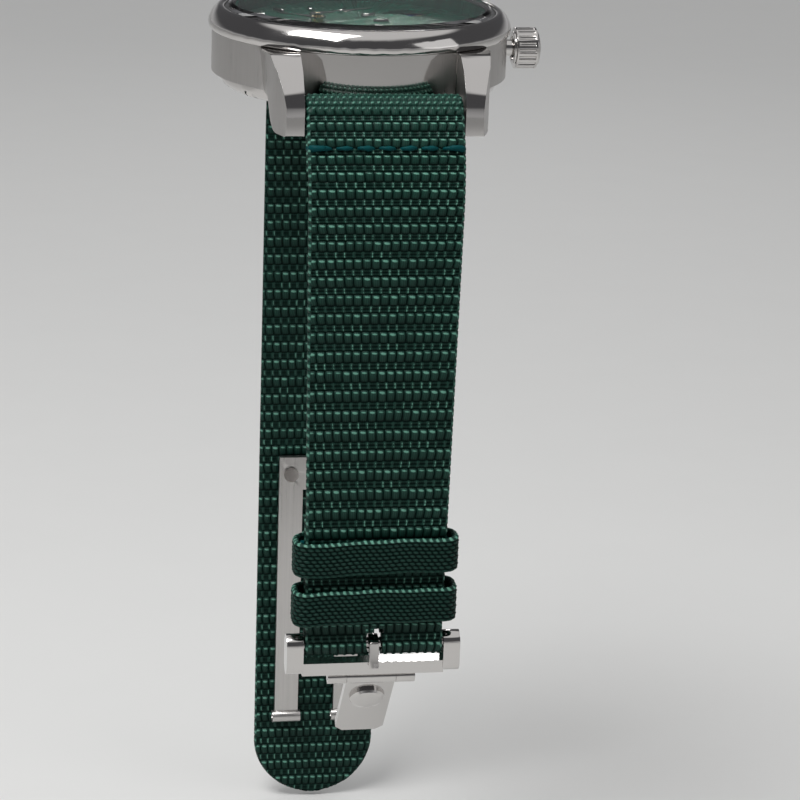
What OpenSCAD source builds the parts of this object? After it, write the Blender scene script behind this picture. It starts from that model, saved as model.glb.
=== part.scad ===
// Moon phase wristwatch on a ribbed textile strap with an open folding clasp, all sizes in millimetres.
// Origin: centre of the case back's outer face. +Z out through the dial, +X to the crown, +Y to 12 o'clock.
// The two strap halves hang down along -Z, as when the watch head lies over a wrist.

/* [Case] */
// Diameter of the case flank
case_d = 39; // [38.6:0.1:39.4]
// Thickness of the case wall
case_wall = 2.9; // [2.8:0.05:3]
// How far the bezel reaches past the flank
bezel_lip = 0.5; // [0.3:0.05:0.9]
// Height of the case flank
flank_h = 5.5; // [5.4:0.1:6.2]
// Height of the case back under the flank
back_h = 1.9; // [1.8:0.05:2.1]
// How far the case back lies inside the flank
back_inset = 1.2; // [1:0.05:1.3]
// Height of the bezel
bezel_h = 3; // [2.9:0.1:3.4]
// Gap between the lugs of one pair
lug_gap = 20.4; // [20.2:0.1:21]
// Width of one lug where it leaves the case
lug_w = 4; // [3.4:0.1:4.6]
// How far a lug reaches past the flank
lug_reach = 4.8; // [4.6:0.1:5.4]
// How far a lug tip reaches below the case back
lug_drop = 2; // [1.4:0.1:2.6]

/* [Crystals] */
// Width of the bezel around the front crystal
bezel_w = 2.7; // [2.6:0.05:2.8]
// Thickness of the front crystal
crystal_t = 2; // [1.8:0.1:2.4]
// Width of the case back around its crystal
back_ring_w = 2.95; // [2.9:0.05:3.1]
// Thickness of the back crystal
back_crystal_t = 1; // [0.8:0.05:1.1]

/* [Crown] */
// Diameter of the crown
crown_d = 5.5; // [5:0.1:5.8]
// Length of the crown without its dome
crown_len = 2.8; // [2.7:0.1:3.4]
// Height of the crown's dome
crown_dome = 0.6; // [0.4:0.1:0.9]
// Number of grooves around the crown
crown_grooves = 18; // [14:1:22]
// Outer diameter of the crown tube
tube_d = 2.2; // [2:0.1:2.4]
// Diameter of the winding stem
stem_d = 0.9; // [0.8:0.05:1]
// How far the crown pulls out
crown_pull = 1.2; // [0.8:0.1:1.3]
// Diameter of a corrector pusher
corrector_d = 1.2; // [1:0.1:1.5]

/* [Dial] */
// Thickness of the dial
dial_t = 0.4; // [0.3:0.05:0.45]
// Radius of the hour circle
hour_ring_r = 10; // [9.6:0.1:10.1]
// Radius of the small seconds circle
seconds_ring_r = 5.8; // [5.4:0.1:5.9]
// Length of an hour marker
marker_len = 2; // [1.4:0.1:2.2]
// Width of an hour marker
marker_w = 0.6; // [0.4:0.05:0.9]
// Height of an hour marker
marker_h = 0.35; // [0.25:0.05:0.4]
// Width of the date window
date_w = 4.3; // [4:0.1:4.4]
// Height of the date window
date_h = 2.3; // [2:0.1:2.4]
// Radius of the moon window's arch
moon_r = 4.6; // [4.3:0.1:4.8]
// Length of the minute hand
minute_len = 8.9; // [8:0.1:9.6]
// Length of the hour hand
hour_len = 5.9; // [5:0.1:6.6]
// Length of the seconds hand
seconds_len = 5; // [4:0.1:5.2]

/* [Movement] */
// Width of the ring that holds the movement
ring_w = 1; // [0.95:0.05:1.2]
// Thickness of the main plate
plate_t = 0.5; // [0.4:0.05:0.6]
// Thickness of the train bridge
bridge_t = 0.6; // [0.5:0.05:0.7]
// Gap around the winding rotor
rotor_gap = 0.55; // [0.45:0.05:1]
// Radius of a wheel pivot
pivot_r = 0.2; // [0.15:0.01:0.25]

/* [Strap] */
// Width of the strap between the lugs
strap_w = 20; // [19.4:0.1:20.2]
// Width of the strap at the buckle
strap_end_w = 18; // [17.4:0.1:18.3]
// Thickness of the strap
strap_t = 1.6; // [1.4:0.1:1.8]
// Thickness of a folded and sewn strap end
fold_t = 1.2; // [1:0.1:1.4]
// Length of the sewn fold behind a spring bar
fold_len = 8.5; // [6:0.5:11]
// Angle at which the strap leaves the lugs, from straight down
leave_angle = 36; // [28:1:42]
// Radius of the bend under the lugs
bend_r = 22; // [18:1:26]
// Height of the buckle's inner bar below the case back
buckle_drop = 68.9; // [66:0.1:76]
// Height of the long half's tip below the case back
tip_drop = 115; // [110:0.5:122]
// Width of a keeper band
keeper_w = 4.7; // [4:0.1:7]
// Thickness of a keeper band
keeper_t = 1.1; // [0.8:0.1:1.3]
// Gap between the two keepers
keeper_gap = 2.1; // [0.15:0.05:2.5]
// Height of the fixed keeper above the buckle's arms
keeper_lift = 2; // [0.1:0.1:3]

/* [Clasp] */
// Thickness of a buckle arm
arm_t = 2.2; // [1.8:0.1:2.6]
// Radius of a buckle arm's rounded ends
arm_r = 1.5; // [1.3:0.1:1.6]
// Distance from the inner bar down to the crossbar's middle
crossbar_drop = 3.15; // [3.1:0.05:3.8]
// Height of the crossbar
crossbar_h = 1.7; // [1.2:0.1:1.8]
// Width of the tongue
tongue_w = 1.3; // [1.1:0.1:1.6]
// Radius of a hinge knuckle
knuckle_r = 0.9; // [0.8:0.05:1]
// Length of the lever's hinge over its knuckles
hinge_len = 11.6; // [10:0.2:13]
// Width of the lever plate
lever_w = 6.5; // [5.5:0.1:7]
// Length of the lever plate
lever_len = 14.8; // [12:0.1:16]
// Angle at which the lever plate leans back
lever_lean = 40; // [20:1:60]
// Distance from the hinge pin to the lock stud
stud_drop = 4.8; // [4.2:0.1:6]
// Thickness of the lever plate
lever_t = 1; // [0.8:0.1:1.2]
// Diameter of the lock stud
stud_d = 4.7; // [4:0.1:5.2]
// Width over the base frame's two rails
frame_w = 12.4; // [11.6:0.1:13]
// Width of one rail
rail_w = 3.5; // [2.8:0.1:4]
// Thickness of the base frame
frame_t = 1; // [0.8:0.1:1.2]
// Height of the base frame's top edge below the case back
frame_top_drop = 60.5; // [58:0.5:64]
// Length of the base frame
frame_len = 42; // [36:0.5:46]

/* [Clearances] */
// Radial play of a shaft that turns in a bore
running_gap = 0.05; // [0.02:0.01:0.09]
// Radial play of a strap loop on its bar
loop_gap = 0.1; // [0.05:0.01:0.1]
// Play between a soft piece and what passes through it
soft_gap = 0.3; // [0.2:0.05:0.4]
// Play of a piece seated in its recess
seat_gap = 0.05; // [0.02:0.01:0.08]

/* [Hidden] */
$fn = 96;

steel = "#b4b1ad";
dark_steel = "#8d8a87";
brass = "#c3a45c";
green = "#0e4a34";
strap_green = "#17503f";
glass = "#cfd8dc";
rubber = "#232323";
gold = "#b58d4d";
blue = "#27365e";
cut = 0.2; // how far a cutting tool runs past the face that it cuts
far = 200; // longer than any piece, for outlines that shape a piece right through

// Heights of the case
flank_top = back_h + flank_h;
bezel_top = flank_top + bezel_h;
ledge_z = bezel_top - 1.5;
crystal_z = ledge_z + 0.05;
recess_top = back_h + 1.2;
spigot_h = 0.8;
bezel_spigot_h = 1;

// Widths of the case
case_bore_r = case_d / 2 - case_wall;
spigot_r = case_bore_r + 0.4;
gasket_r = case_bore_r + 0.7;
gasket_w = 0.6;
bezel_spigot_r = case_bore_r + 0.9;
bezel_spigot_w = 0.6;
ledge_r = case_bore_r + 0.1;
bezel_r = case_d / 2 + bezel_lip;
crystal_d = 2 * (bezel_r - bezel_w);
crystal_seat_r = crystal_d / 2 + 0.55;
back_d = case_d - 2 * back_inset;
back_crystal_d = back_d - 2 * back_ring_w;
plate_r = case_bore_r - ring_w;
calibre = plate_r / 15.6; // how large the movement is drawn

// Heights of the dial side
dial_top = flank_top - 0.3;
dial_z = dial_top - dial_t;
dial_r = case_bore_r - 0.2;
marker_z = dial_top;
seconds_hand_z = dial_top + 0.15;
hour_hand_z = dial_top + 0.5;
minute_hand_z = dial_top + 0.95;
hand_t = 0.15;

// Heights of the movement
plate_top = dial_z - 1;
plate_z = plate_top - plate_t;
bridge_z = recess_top;
bridge_top = bridge_z + bridge_t;
barrel_z = bridge_top + 0.1;
barrel_t = 0.8;
third_z = bridge_top + 0.4;
escape_z = bridge_top + 0.7;
centre_z = bridge_top + 0.98;
fourth_z = bridge_top + 1.2;
balance_z = bridge_top + 0.25;
spring_z = bridge_top + 0.05;
wheel_t = 0.15;
motion_z = plate_top + 0.1;
units_z = plate_top + 0.2;
tens_z = plate_top + 0.5;
moon_z = plate_top + 0.65;
disc_t = 0.15;
stem_z = 5;

// Places on the dial
hour_at = calibre * [-5.6, 0.3];
seconds_at = calibre * [-5.1, -7.3];
date_at = calibre * [6.9, -11];
units_at = calibre * [7.8, -6.7];
units_r = calibre * 5.2;
tens_at = calibre * [3.4, -7.4];
tens_r = calibre * 4.95;
moon_at = calibre * [8.2, 4.6];
moon_disc_r = moon_r + 0.6;
moon_body_r = moon_r - 2.7;
moon_body_at = moon_r - 1.7;

// Wheels: pitch radii, and centre distances that keep them in mesh
centre_r = calibre * 4.5;
third_pinion_r = calibre * 0.6;
third_r = calibre * 3.9;
fourth_pinion_r = third_r / 8;
fourth_r = calibre * 3.5;
escape_pinion_r = calibre * 0.35;
escape_r = calibre * 2.4;
balance_r = calibre * 4.2;
barrel_r = calibre * 6;
centre_pinion_r = calibre * 0.857;
mesh_gap = 0.03;
tooth = 0.12;
centre_third = centre_r + third_pinion_r;
third_fourth = third_r + fourth_pinion_r;
fourth_escape = fourth_r + escape_pinion_r;
third_at = meet(hour_at, seconds_at, centre_third, third_fourth);
escape_at = seconds_at + fourth_escape * [cos(-20), sin(-20)];
pallet_reach = calibre * 3.2;
pallet_at = escape_at + pallet_reach * [cos(-35), sin(-35)];
balance_reach = calibre * 3.9;
balance_at = pallet_at + balance_reach * [cos(10), sin(10)];
barrel_at = hour_at + (barrel_r + centre_pinion_r) * [cos(75), sin(75)];
cannon_r = calibre * 0.75;
minute_wheel_r = calibre * 2.25;
minute_pinion_r = calibre * 0.6;
hour_wheel_r = calibre * 2.4;
minute_wheel_at = hour_at + (cannon_r + minute_wheel_r) * [cos(160), sin(160)];
cock_foot_at = (plate_r - 1.8) * [cos(-100), sin(-100)];
post_angles = [20, 75, 165, 215, 330];
post_orbit = plate_r - 2;
post_r = 0.9;
post_h = plate_z - bridge_top + plate_t / 2;
screw_r = 0.35;

// Lugs and spring bars
lug_tip = case_d / 2 + lug_reach;
bar_h = lug_tip - 2.3;
bar_z = 1;
bar_r = 0.75;
bar_pin_r = 0.4;

// Strap: a leaf that bends from the lug into the fall, as offsets from its middle line
loop_r = 2.25;
half_t = strap_t / 2;
leaf_start = [bar_h, bar_z] + (loop_r - half_t) * [cos(leave_angle), sin(leave_angle)];
bend_c = leaf_start - bend_r * [cos(leave_angle), sin(leave_angle)];
fall_h = bend_c.x + bend_r;
fold_angle = fold_len / bend_r * 180 / PI;
bar2_z = -buckle_drop;
bar2_h = fall_h - fold_t / 2;
wrap_r = (strap_t + fold_t) / 2 + 0.5;
tail_top = bar2_z + 17;
tip_z = -tip_drop;

// Keepers
keeper_in_w = strap_end_w + 2 * (soft_gap + 0.45);
fixed_keeper_z = bar2_z + arm_r + keeper_lift;
free_keeper_z = fixed_keeper_z + keeper_w + keeper_gap;

// Buckle
arm_in = strap_end_w / 2 + 0.25;
crossbar_z = bar2_z - crossbar_drop;
pin_z = crossbar_z - crossbar_h / 2 - knuckle_r - 0.05;
pin_h = bar2_h - 0.6;
pin_r = 0.4;
rail_mid = (frame_w - rail_w) / 2;
frame_h = fall_h - half_t - soft_gap - frame_t;

// Where two circles round a and b meet, on the right of the line from a to b
function meet(a, b, ra, rb) =
    let (d = norm(b - a), u = (b - a) / d, along = (ra * ra - rb * rb + d * d) / (2 * d))
    a + along * u + sqrt(ra * ra - along * along) * [-u.y, u.x];

// Outline of a toothed wheel
function toothed(n, tip, root) =
    [for (i = [0 : 2 * n - 1]) (i % 2 == 0 ? tip : root) * [cos(180 * i / n), sin(180 * i / n)]];

// Point of the strap's bend at an angle, offset outwards from the middle line
function bend_at(a, off) = bend_c + (bend_r + off) * [cos(a), sin(a)];

// Outline of the bend between two angles
function bend_band(inner, outer, a0, a1, n = 12) = concat(
    [for (i = [0 : n]) bend_at(a0 + (a1 - a0) * i / n, outer)],
    [for (i = [n : -1 : 0]) bend_at(a0 + (a1 - a0) * i / n, inner)]);

// Turns a flat outline of distance and height into a body of width w across the strap
module across(w) rotate([90, 0, 90]) linear_extrude(height = w, center = true) children();

// A rod along X at a distance and height
module rod(h, z, r, w, x = 0) translate([x, h, z]) rotate([0, 90, 0]) cylinder(r = r, h = w, center = true);

// A block given by its low corner and its high corner
module block(low, high) translate(low) cube(high - low);

module at(p, z) translate([p.x, p.y, z]) children();
module toward_six() mirror([0, 1, 0]) children();

// A ring on the case axis
module ring(outer, inner, z, h) translate([0, 0, z]) difference() {
    cylinder(r = outer, h = h);
    translate([0, 0, -cut]) cylinder(r = inner, h = h + 2 * cut);
}

// Case

lug_foot = case_d / 2 - 6.5;
lug_top_run = case_d / 2 - 0.5;
lug_hole_depth = 1.2;

module lug() intersection() {
    across(far) polygon([[lug_foot, back_h], [lug_foot, flank_top], [lug_top_run, flank_top],
        [lug_tip - 2.6, flank_top - 1.6], [lug_tip - 0.9, flank_top - 3.9], [lug_tip, bar_z + 0.6],
        [lug_tip - 0.1, 0.2 - lug_drop], [lug_tip - 0.5, -lug_drop], [bar_h - 0.6, -lug_drop],
        [bar_h - 3.4, -lug_drop / 2], [bar_h - 4.6, back_h]]);
    linear_extrude(height = far, center = true) polygon([[lug_gap / 2, lug_foot - 1],
        [lug_gap / 2 + lug_w + 1.2, lug_foot - 1], [lug_gap / 2 + lug_w, lug_top_run - 1],
        [lug_gap / 2 + lug_w - 0.5, lug_tip - 3.4], [lug_gap / 2 + lug_w - 1.7, lug_tip],
        [lug_gap / 2, lug_tip]]);
    rotate([90, 0, 0]) linear_extrude(height = far, center = true) polygon([
        [lug_gap / 2 - 1, -10], [lug_gap / 2 + lug_w - 1.2, -10], [lug_gap / 2 + lug_w + 0.9, 12],
        [lug_gap / 2 - 1, 12]]);
}

module case_middle() color(steel) difference() {
    union() {
        translate([0, 0, back_h]) cylinder(d = case_d, h = flank_h);
        for (turn = [0, 1])
            for (side = [0, 1])
                mirror([0, turn, 0]) mirror([side, 0, 0]) lug();
    }
    translate([0, 0, back_h - cut]) cylinder(r = spigot_r + seat_gap, h = recess_top - back_h + cut);
    translate([0, 0, back_h]) cylinder(r = case_bore_r, h = flank_h + cut);
    translate([0, 0, flank_top - bezel_spigot_h - 0.1])
        cylinder(r = bezel_spigot_r + seat_gap, h = bezel_spigot_h + 1);
    ring(gasket_r + gasket_w + seat_gap, gasket_r - seat_gap, back_h - cut, 0.4 + cut);
    translate([0, 0, stem_z]) rotate([0, 90, 0]) cylinder(d = tube_d, h = case_d);
    for (angle = corrector_angles)
        rotate([0, 0, angle]) translate([0, 0, corrector_z]) rotate([0, 90, 0])
            cylinder(d = corrector_d + 2 * running_gap, h = case_d);
    for (turn = [0, 1])
        mirror([0, turn, 0]) rod(bar_h, bar_z, bar_pin_r + seat_gap, lug_gap + 2 * lug_hole_depth);
}

module bezel() color(steel) rotate_extrude() polygon([
    [ledge_r, flank_top], [bezel_spigot_r - bezel_spigot_w, flank_top],
    [bezel_spigot_r - bezel_spigot_w, flank_top - bezel_spigot_h],
    [bezel_spigot_r, flank_top - bezel_spigot_h], [bezel_spigot_r, flank_top],
    [bezel_r - 0.4, flank_top], [bezel_r - 0.12, flank_top + 0.3],
    [bezel_r, flank_top + 0.8], [bezel_r - 0.1, flank_top + 1.3],
    [bezel_r - 0.55, bezel_top - 0.75], [bezel_r - 1.1, bezel_top - 0.15],
    [bezel_r - 1.45, bezel_top], [crystal_seat_r + 0.2, bezel_top],
    [crystal_seat_r, bezel_top - 0.2], [crystal_seat_r, ledge_z],
    [ledge_r, ledge_z]]);

module crystal() color(glass, 0.4) rotate_extrude() polygon([
    [0, crystal_z], [crystal_d / 2, crystal_z], [crystal_d / 2, crystal_z + crystal_t - 0.35],
    [crystal_d / 2 - 0.35, crystal_z + crystal_t - 0.05], [0, crystal_z + crystal_t]]);

module crystal_gasket() color(rubber)
    ring(crystal_seat_r - seat_gap, crystal_d / 2 + 0.02, ledge_z + 0.02, bezel_top - ledge_z - 0.3);

module dial_flange() color(dark_steel) rotate_extrude() polygon([
    [dial_r - 0.5, dial_top], [case_bore_r - 0.1, dial_top], [case_bore_r - 0.1, ledge_z - 0.1],
    [case_bore_r - 0.25, ledge_z - 0.1]]);

back_lip_r = back_crystal_d / 2 - 0.75;
back_lip_t = 0.4;

module case_back() color(steel) difference() {
    rotate_extrude() polygon([
        [back_d / 2 - 0.9, 0], [back_d / 2 - 0.25, 0.45], [back_d / 2, 1.1],
        [back_d / 2, back_h], [spigot_r, back_h], [spigot_r, back_h + spigot_h],
        [back_crystal_d / 2 + seat_gap, back_h + spigot_h],
        [back_crystal_d / 2 + seat_gap, back_crystal_t + back_lip_t],
        [back_lip_r, back_crystal_t + back_lip_t],
        [back_lip_r, back_crystal_t], [back_crystal_d / 2 + 0.02, back_crystal_t],
        [back_crystal_d / 2 + 0.02, 0]]);
    for (i = [0 : 5])
        rotate([0, 0, 60 * i + 30]) translate([back_d / 2 - 0.2, 0, -cut]) cylinder(r = 0.8, h = 0.8 + cut);
}

module back_crystal() color(glass, 0.4)
    cylinder(d = back_crystal_d, h = back_crystal_t);

module back_gasket() color(rubber) ring(gasket_r + gasket_w, gasket_r, back_h, 0.35);

clamp_angles = [-65, 115];
clamp_t = 0.35;
clamp_hole_r = 0.3;
ring_mid = (plate_r + case_bore_r) / 2;

module movement_ring() color(dark_steel) difference() {
    ring(case_bore_r - 0.1, plate_r + seat_gap, bridge_z, dial_z - bridge_z);
    translate([0, 0, stem_z]) rotate([0, 90, 0]) cylinder(d = stem_d + 0.4, h = case_d);
    for (angle = clamp_angles)
        rotate([0, 0, angle]) translate([ring_mid, 0, bridge_z - cut])
            cylinder(r = clamp_hole_r, h = 1.6 + cut);
}

module casing_clamps() color(steel)
    for (angle = clamp_angles)
        rotate([0, 0, angle]) difference() {
            block([ring_mid - 0.5, -1.3, bridge_z - clamp_t], [spigot_r - 0.1, 1.3, bridge_z]);
            translate([ring_mid, 0, bridge_z - 1]) cylinder(r = clamp_hole_r, h = 2);
        }

module casing_screws() color(dark_steel)
    for (angle = clamp_angles)
        rotate([0, 0, angle]) translate([ring_mid, 0, bridge_z - clamp_t])
            cylinder(r = clamp_hole_r - 0.02, h = 1.8);

// Crown and correctors

crown_x = case_d / 2 + 1.4;
crown_bore_r = tube_d / 2 + 0.5;
tube_end = crown_x + crown_pull + 0.8;
tube_start = case_bore_r + 0.3;
stem_start = plate_r - 6;
stem_end = tube_end + 0.2;
pinion_start = stem_start + 1;
pinion_len = 1.8;
corrector_angles = [38, 142];
corrector_z = back_h + flank_h / 2;
corrector_start = case_bore_r + 0.7;
corrector_end = case_d / 2 - 0.25;

module crown() color(steel) translate([0, 0, stem_z]) difference() {
    union() {
        translate([crown_x, 0, 0]) rotate([0, 90, 0]) cylinder(d = crown_d, h = crown_len);
        translate([crown_x - 0.25, 0, 0]) rotate([0, 90, 0]) cylinder(d = crown_d - 1.2, h = 1);
        translate([crown_x + crown_len, 0, 0]) rotate([0, 90, 0]) rotate_extrude() polygon([
            [0, 0], [crown_d / 2 - 0.15, 0], [crown_d / 2 - 0.5, crown_dome * 0.55],
            [crown_d / 2 - 1.2, crown_dome * 0.9], [crown_d / 2 - 1.9, crown_dome], [0, crown_dome]]);
    }
    for (i = [0 : crown_grooves - 1])
        rotate([360 * (i + 0.5) / crown_grooves, 0, 0])
            translate([crown_x + 0.25, 0, crown_d / 2 + 0.06]) rotate([0, 90, 0])
                cylinder(r = 0.3, h = crown_len - 0.5);
    translate([crown_x - 1, 0, 0]) rotate([0, 90, 0])
        cylinder(r = crown_bore_r, h = stem_end - crown_x + 1);
}

module crown_gasket() color(rubber) translate([crown_x + 0.2, 0, stem_z]) rotate([0, 90, 0])
    ring(crown_bore_r - 0.02, tube_d / 2 + running_gap, 0, 0.5);

module crown_tube() color(dark_steel) translate([0, 0, stem_z]) rotate([0, 90, 0]) difference() {
    translate([0, 0, tube_start]) cylinder(d = tube_d, h = tube_end - tube_start);
    cylinder(d = stem_d + 2 * running_gap, h = case_d);
}

module winding_stem() color(dark_steel) translate([stem_start, 0, stem_z]) rotate([0, 90, 0])
    cylinder(d = stem_d, h = stem_end - stem_start);

module sliding_pinion() color(brass) translate([pinion_start, 0, stem_z]) rotate([0, 90, 0]) difference() {
    linear_extrude(height = pinion_len) polygon(toothed(12, 0.85, 0.68));
    translate([0, 0, -cut]) cylinder(d = stem_d + 2 * running_gap, h = pinion_len + 2 * cut);
}

module corrector(angle) rotate([0, 0, angle]) translate([corrector_start, 0, corrector_z])
    rotate([0, 90, 0]) cylinder(d = corrector_d, h = corrector_end - corrector_start);

module moon_corrector() color(steel) corrector(corrector_angles[0]);
module date_corrector() color(steel) corrector(corrector_angles[1]);

// Dial

module dial_plate() color(green) difference() {
    union() {
        translate([0, 0, dial_z]) cylinder(r = dial_r, h = dial_t);
        at(tens_at, tens_z - 0.05) cylinder(r = disc_post_r, h = dial_z + dial_t / 2 - tens_z);
    }
    at(hour_at, dial_z - cut) cylinder(r = 0.95, h = 1);
    at(seconds_at, dial_z - cut) cylinder(r = 0.35, h = 1);
    at(seconds_at, dial_top - 0.12) cylinder(r = seconds_ring_r, h = 1);
    translate([date_at.x - date_w / 2, date_at.y - date_h / 2, dial_z - cut]) cube([date_w, date_h, 1]);
    at(moon_at, dial_z - cut) difference() {
        intersection() {
            cylinder(r = moon_r, h = 1);
            translate([-moon_r, 0, 0]) cube([2 * moon_r, moon_r, 1]);
        }
        for (side = [-1, 1])
            translate([side * moon_body_at, 0, -cut]) cylinder(r = moon_body_r, h = 2);
    }
}

marker_hours = [8, 9, 10, 11, 12, 1, 2, 3, 4];

module hour_markers() color(steel)
    for (hour = marker_hours)
        at(hour_at, marker_z) rotate([0, 0, -30 * hour])
            translate([0, hour_ring_r - 0.5 - marker_len, 0]) rotate([-90, 0, 0])
                linear_extrude(height = marker_len) polygon([[-marker_w / 2, 0], [marker_w / 2, 0],
                    [marker_w / 2 - 0.1, -marker_h], [0.1 - marker_w / 2, -marker_h]]);

module seconds_ring() color(steel) at(seconds_at, dial_top - 0.12)
    ring(seconds_ring_r - seat_gap, seconds_ring_r - 0.25, 0, 0.2);

module date_frame() color("#d8d2c2") translate([date_at.x, date_at.y, dial_top]) difference() {
    translate([-date_w / 2 - 0.35, -date_h / 2 - 0.35, 0]) cube([date_w + 0.7, date_h + 0.7, 0.22]);
    translate([-date_w / 2, -date_h / 2, -cut]) cube([date_w, date_h, 1]);
}

disc_bore = 0.45;
disc_post_r = disc_bore - running_gap;

module disc(p, z, r) at(p, z) difference() {
    cylinder(r = r, h = disc_t);
    translate([0, 0, -cut]) cylinder(r = disc_bore, h = 1);
}

module date_units_disc() color("#e9e4d6") disc(units_at, units_z, units_r);
module date_tens_disc() color("#e9e4d6") disc(tens_at, tens_z, tens_r);
module moon_disc() color(blue) disc(moon_at, moon_z, moon_disc_r);

minute_bore_r = 0.3;
hour_pipe_r = 0.8;

// A hand with a pipe, a tapering blade that points to 12, and a short tail
module hand(len, width, tail, pipe, bore, z) translate([0, 0, z]) difference() {
    union() {
        cylinder(r = pipe, h = hand_t);
        linear_extrude(height = hand_t) polygon([[-width / 2, -tail], [width / 2, -tail],
            [width / 2, len * 0.6], [0.08, len], [-0.08, len], [-width / 2, len * 0.6]]);
    }
    translate([0, 0, -cut]) cylinder(r = bore, h = 1);
}

module hour_hand() color(steel) at(hour_at, 0) rotate([0, 0, 58])
    hand(hour_len, 0.9, 0, 1.15, hour_pipe_r - 0.01, hour_hand_z);
module minute_hand() color(steel) at(hour_at, 0) rotate([0, 0, -62])
    hand(minute_len, 0.7, 1.2, 0.9, minute_bore_r, minute_hand_z);
module seconds_hand() color(steel) at(seconds_at, 0) rotate([0, 0, -145])
    hand(seconds_len, 0.3, 1.3, 0.5, pivot_r, seconds_hand_z);

// Movement

wheels_at = [third_at, escape_at];
centre_arbor_r = 0.35;
barrel_arbor_r = 0.6;
minute_post_r = 0.3;
cannon_pipe_r = 0.5;
cannon_h = 0.4;
stem_slot_w = 2.2;

module pivot_hole(p, r, z, h) at(p, z - cut) cylinder(r = r + running_gap, h = h + 2 * cut);

module main_plate() color(brass) difference() {
    union() {
        translate([0, 0, plate_z]) cylinder(r = plate_r, h = plate_t);
        for (angle = post_angles)
            rotate([0, 0, angle]) translate([post_orbit, 0, bridge_top]) cylinder(r = post_r, h = post_h);
        at(cock_foot_at, bridge_top) cylinder(r = post_r, h = post_h);
        at(moon_at, plate_top) cylinder(r = disc_post_r, h = moon_z + disc_t - plate_top);
        at(units_at, plate_top) cylinder(r = disc_post_r, h = units_z + disc_t + 0.05 - plate_top);
        at(minute_wheel_at, plate_top) cylinder(r = minute_post_r, h = 0.85);
    }
    for (p = wheels_at)
        pivot_hole(p, pivot_r, plate_z, plate_t);
    pivot_hole(seconds_at, pivot_r, plate_z, plate_t);
    pivot_hole(pallet_at, pivot_r, plate_z, plate_t);
    pivot_hole(balance_at, pivot_r, plate_z, plate_t);
    pivot_hole(hour_at, centre_arbor_r, plate_z, plate_t);
    pivot_hole(barrel_at, barrel_arbor_r, plate_z, plate_t);
    block([stem_start - 0.6, -stem_slot_w / 2, plate_z - cut],
        [plate_r + 1, stem_slot_w / 2, plate_top + cut]);
    for (angle = post_angles)
        rotate([0, 0, angle]) translate([post_orbit, 0, bridge_top - cut])
            cylinder(r = screw_r, h = 0.8 + cut);
    at(cock_foot_at, bridge_top - cut) cylinder(r = screw_r, h = 0.8 + cut);
}

// The cock's outline: a disc over the balance staff, a foot, and the arm between them
module cock_shape(grow) {
    reach = norm(cock_foot_at - balance_at);
    turn = atan2(cock_foot_at.y - balance_at.y, cock_foot_at.x - balance_at.x);
    at(balance_at, 0) {
        cylinder(r = 1.3 + grow, h = bridge_t);
        rotate([0, 0, turn]) translate([0, -0.8 - grow, 0]) cube([reach, 1.6 + 2 * grow, bridge_t]);
    }
    at(cock_foot_at, 0) cylinder(r = 1.2 + grow, h = bridge_t);
}

module train_bridge() color(dark_steel) difference() {
    translate([0, 0, bridge_z]) cylinder(r = plate_r - 0.3, h = bridge_t);
    at(balance_at, bridge_z - cut) cylinder(r = balance_r + 0.6, h = bridge_t + 2 * cut);
    translate([0, 0, bridge_z - cut]) cock_shape(0.2);
    translate([0, 0, bridge_z + cut]) cock_shape(0.2);
    for (p = wheels_at)
        pivot_hole(p, pivot_r, bridge_z, bridge_t);
    pivot_hole(hour_at, pivot_r, bridge_z, bridge_t);
    pivot_hole(seconds_at, pivot_r, bridge_z, bridge_t);
    pivot_hole(barrel_at, barrel_arbor_r, bridge_z, bridge_t);
    for (angle = post_angles)
        rotate([0, 0, angle]) translate([post_orbit, 0, bridge_z - cut])
            cylinder(r = screw_r, h = bridge_t + 2 * cut);
}

module balance_cock() color(dark_steel) difference() {
    translate([0, 0, bridge_z]) cock_shape(0);
    pivot_hole(balance_at, pivot_r, bridge_z, bridge_t);
    at(cock_foot_at, bridge_z - cut) cylinder(r = screw_r, h = bridge_t + 2 * cut);
}

screw_head_r = 0.7;
screw_head_t = 0.22;
screw_slot_w = 0.16;

module bridge_screw() difference() {
    union() {
        translate([0, 0, bridge_z - screw_head_t]) cylinder(r = screw_head_r, h = screw_head_t);
        translate([0, 0, bridge_z - 0.1]) cylinder(r = screw_r - 0.02, h = bridge_t + 0.7);
    }
    block([-screw_head_r - cut, -screw_slot_w / 2, bridge_z - screw_head_t - cut],
        [screw_head_r + cut, screw_slot_w / 2, bridge_z - 0.12]);
}

module bridge_screws() color("#3c4a78") {
    for (angle = post_angles)
        rotate([0, 0, angle]) translate([post_orbit, 0, 0]) bridge_screw();
    at(cock_foot_at, 0) bridge_screw();
}

// A wheel with spokes, a pinion and an arbor on one axis
module wheel(r, n, z, pinion, pn, pz, ph, low, high, phase = 0, pphase = 0) {
    translate([0, 0, z]) difference() {
        rotate([0, 0, phase]) linear_extrude(height = wheel_t)
            polygon(toothed(n, r - mesh_gap, r - mesh_gap - tooth));
        for (i = [0 : 3])
            rotate([0, 0, 90 * i + 45]) translate([(r + pinion) / 2 - 0.05, 0, -cut])
                cylinder(r = (r - pinion) / 2 - 0.35, h = 1);
    }
    rotate([0, 0, pphase]) translate([0, 0, pz]) linear_extrude(height = ph)
        polygon(toothed(pn, pinion - mesh_gap, pinion - mesh_gap - 0.1));
    translate([0, 0, low]) cylinder(r = pivot_r, h = high - low);
}

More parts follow.
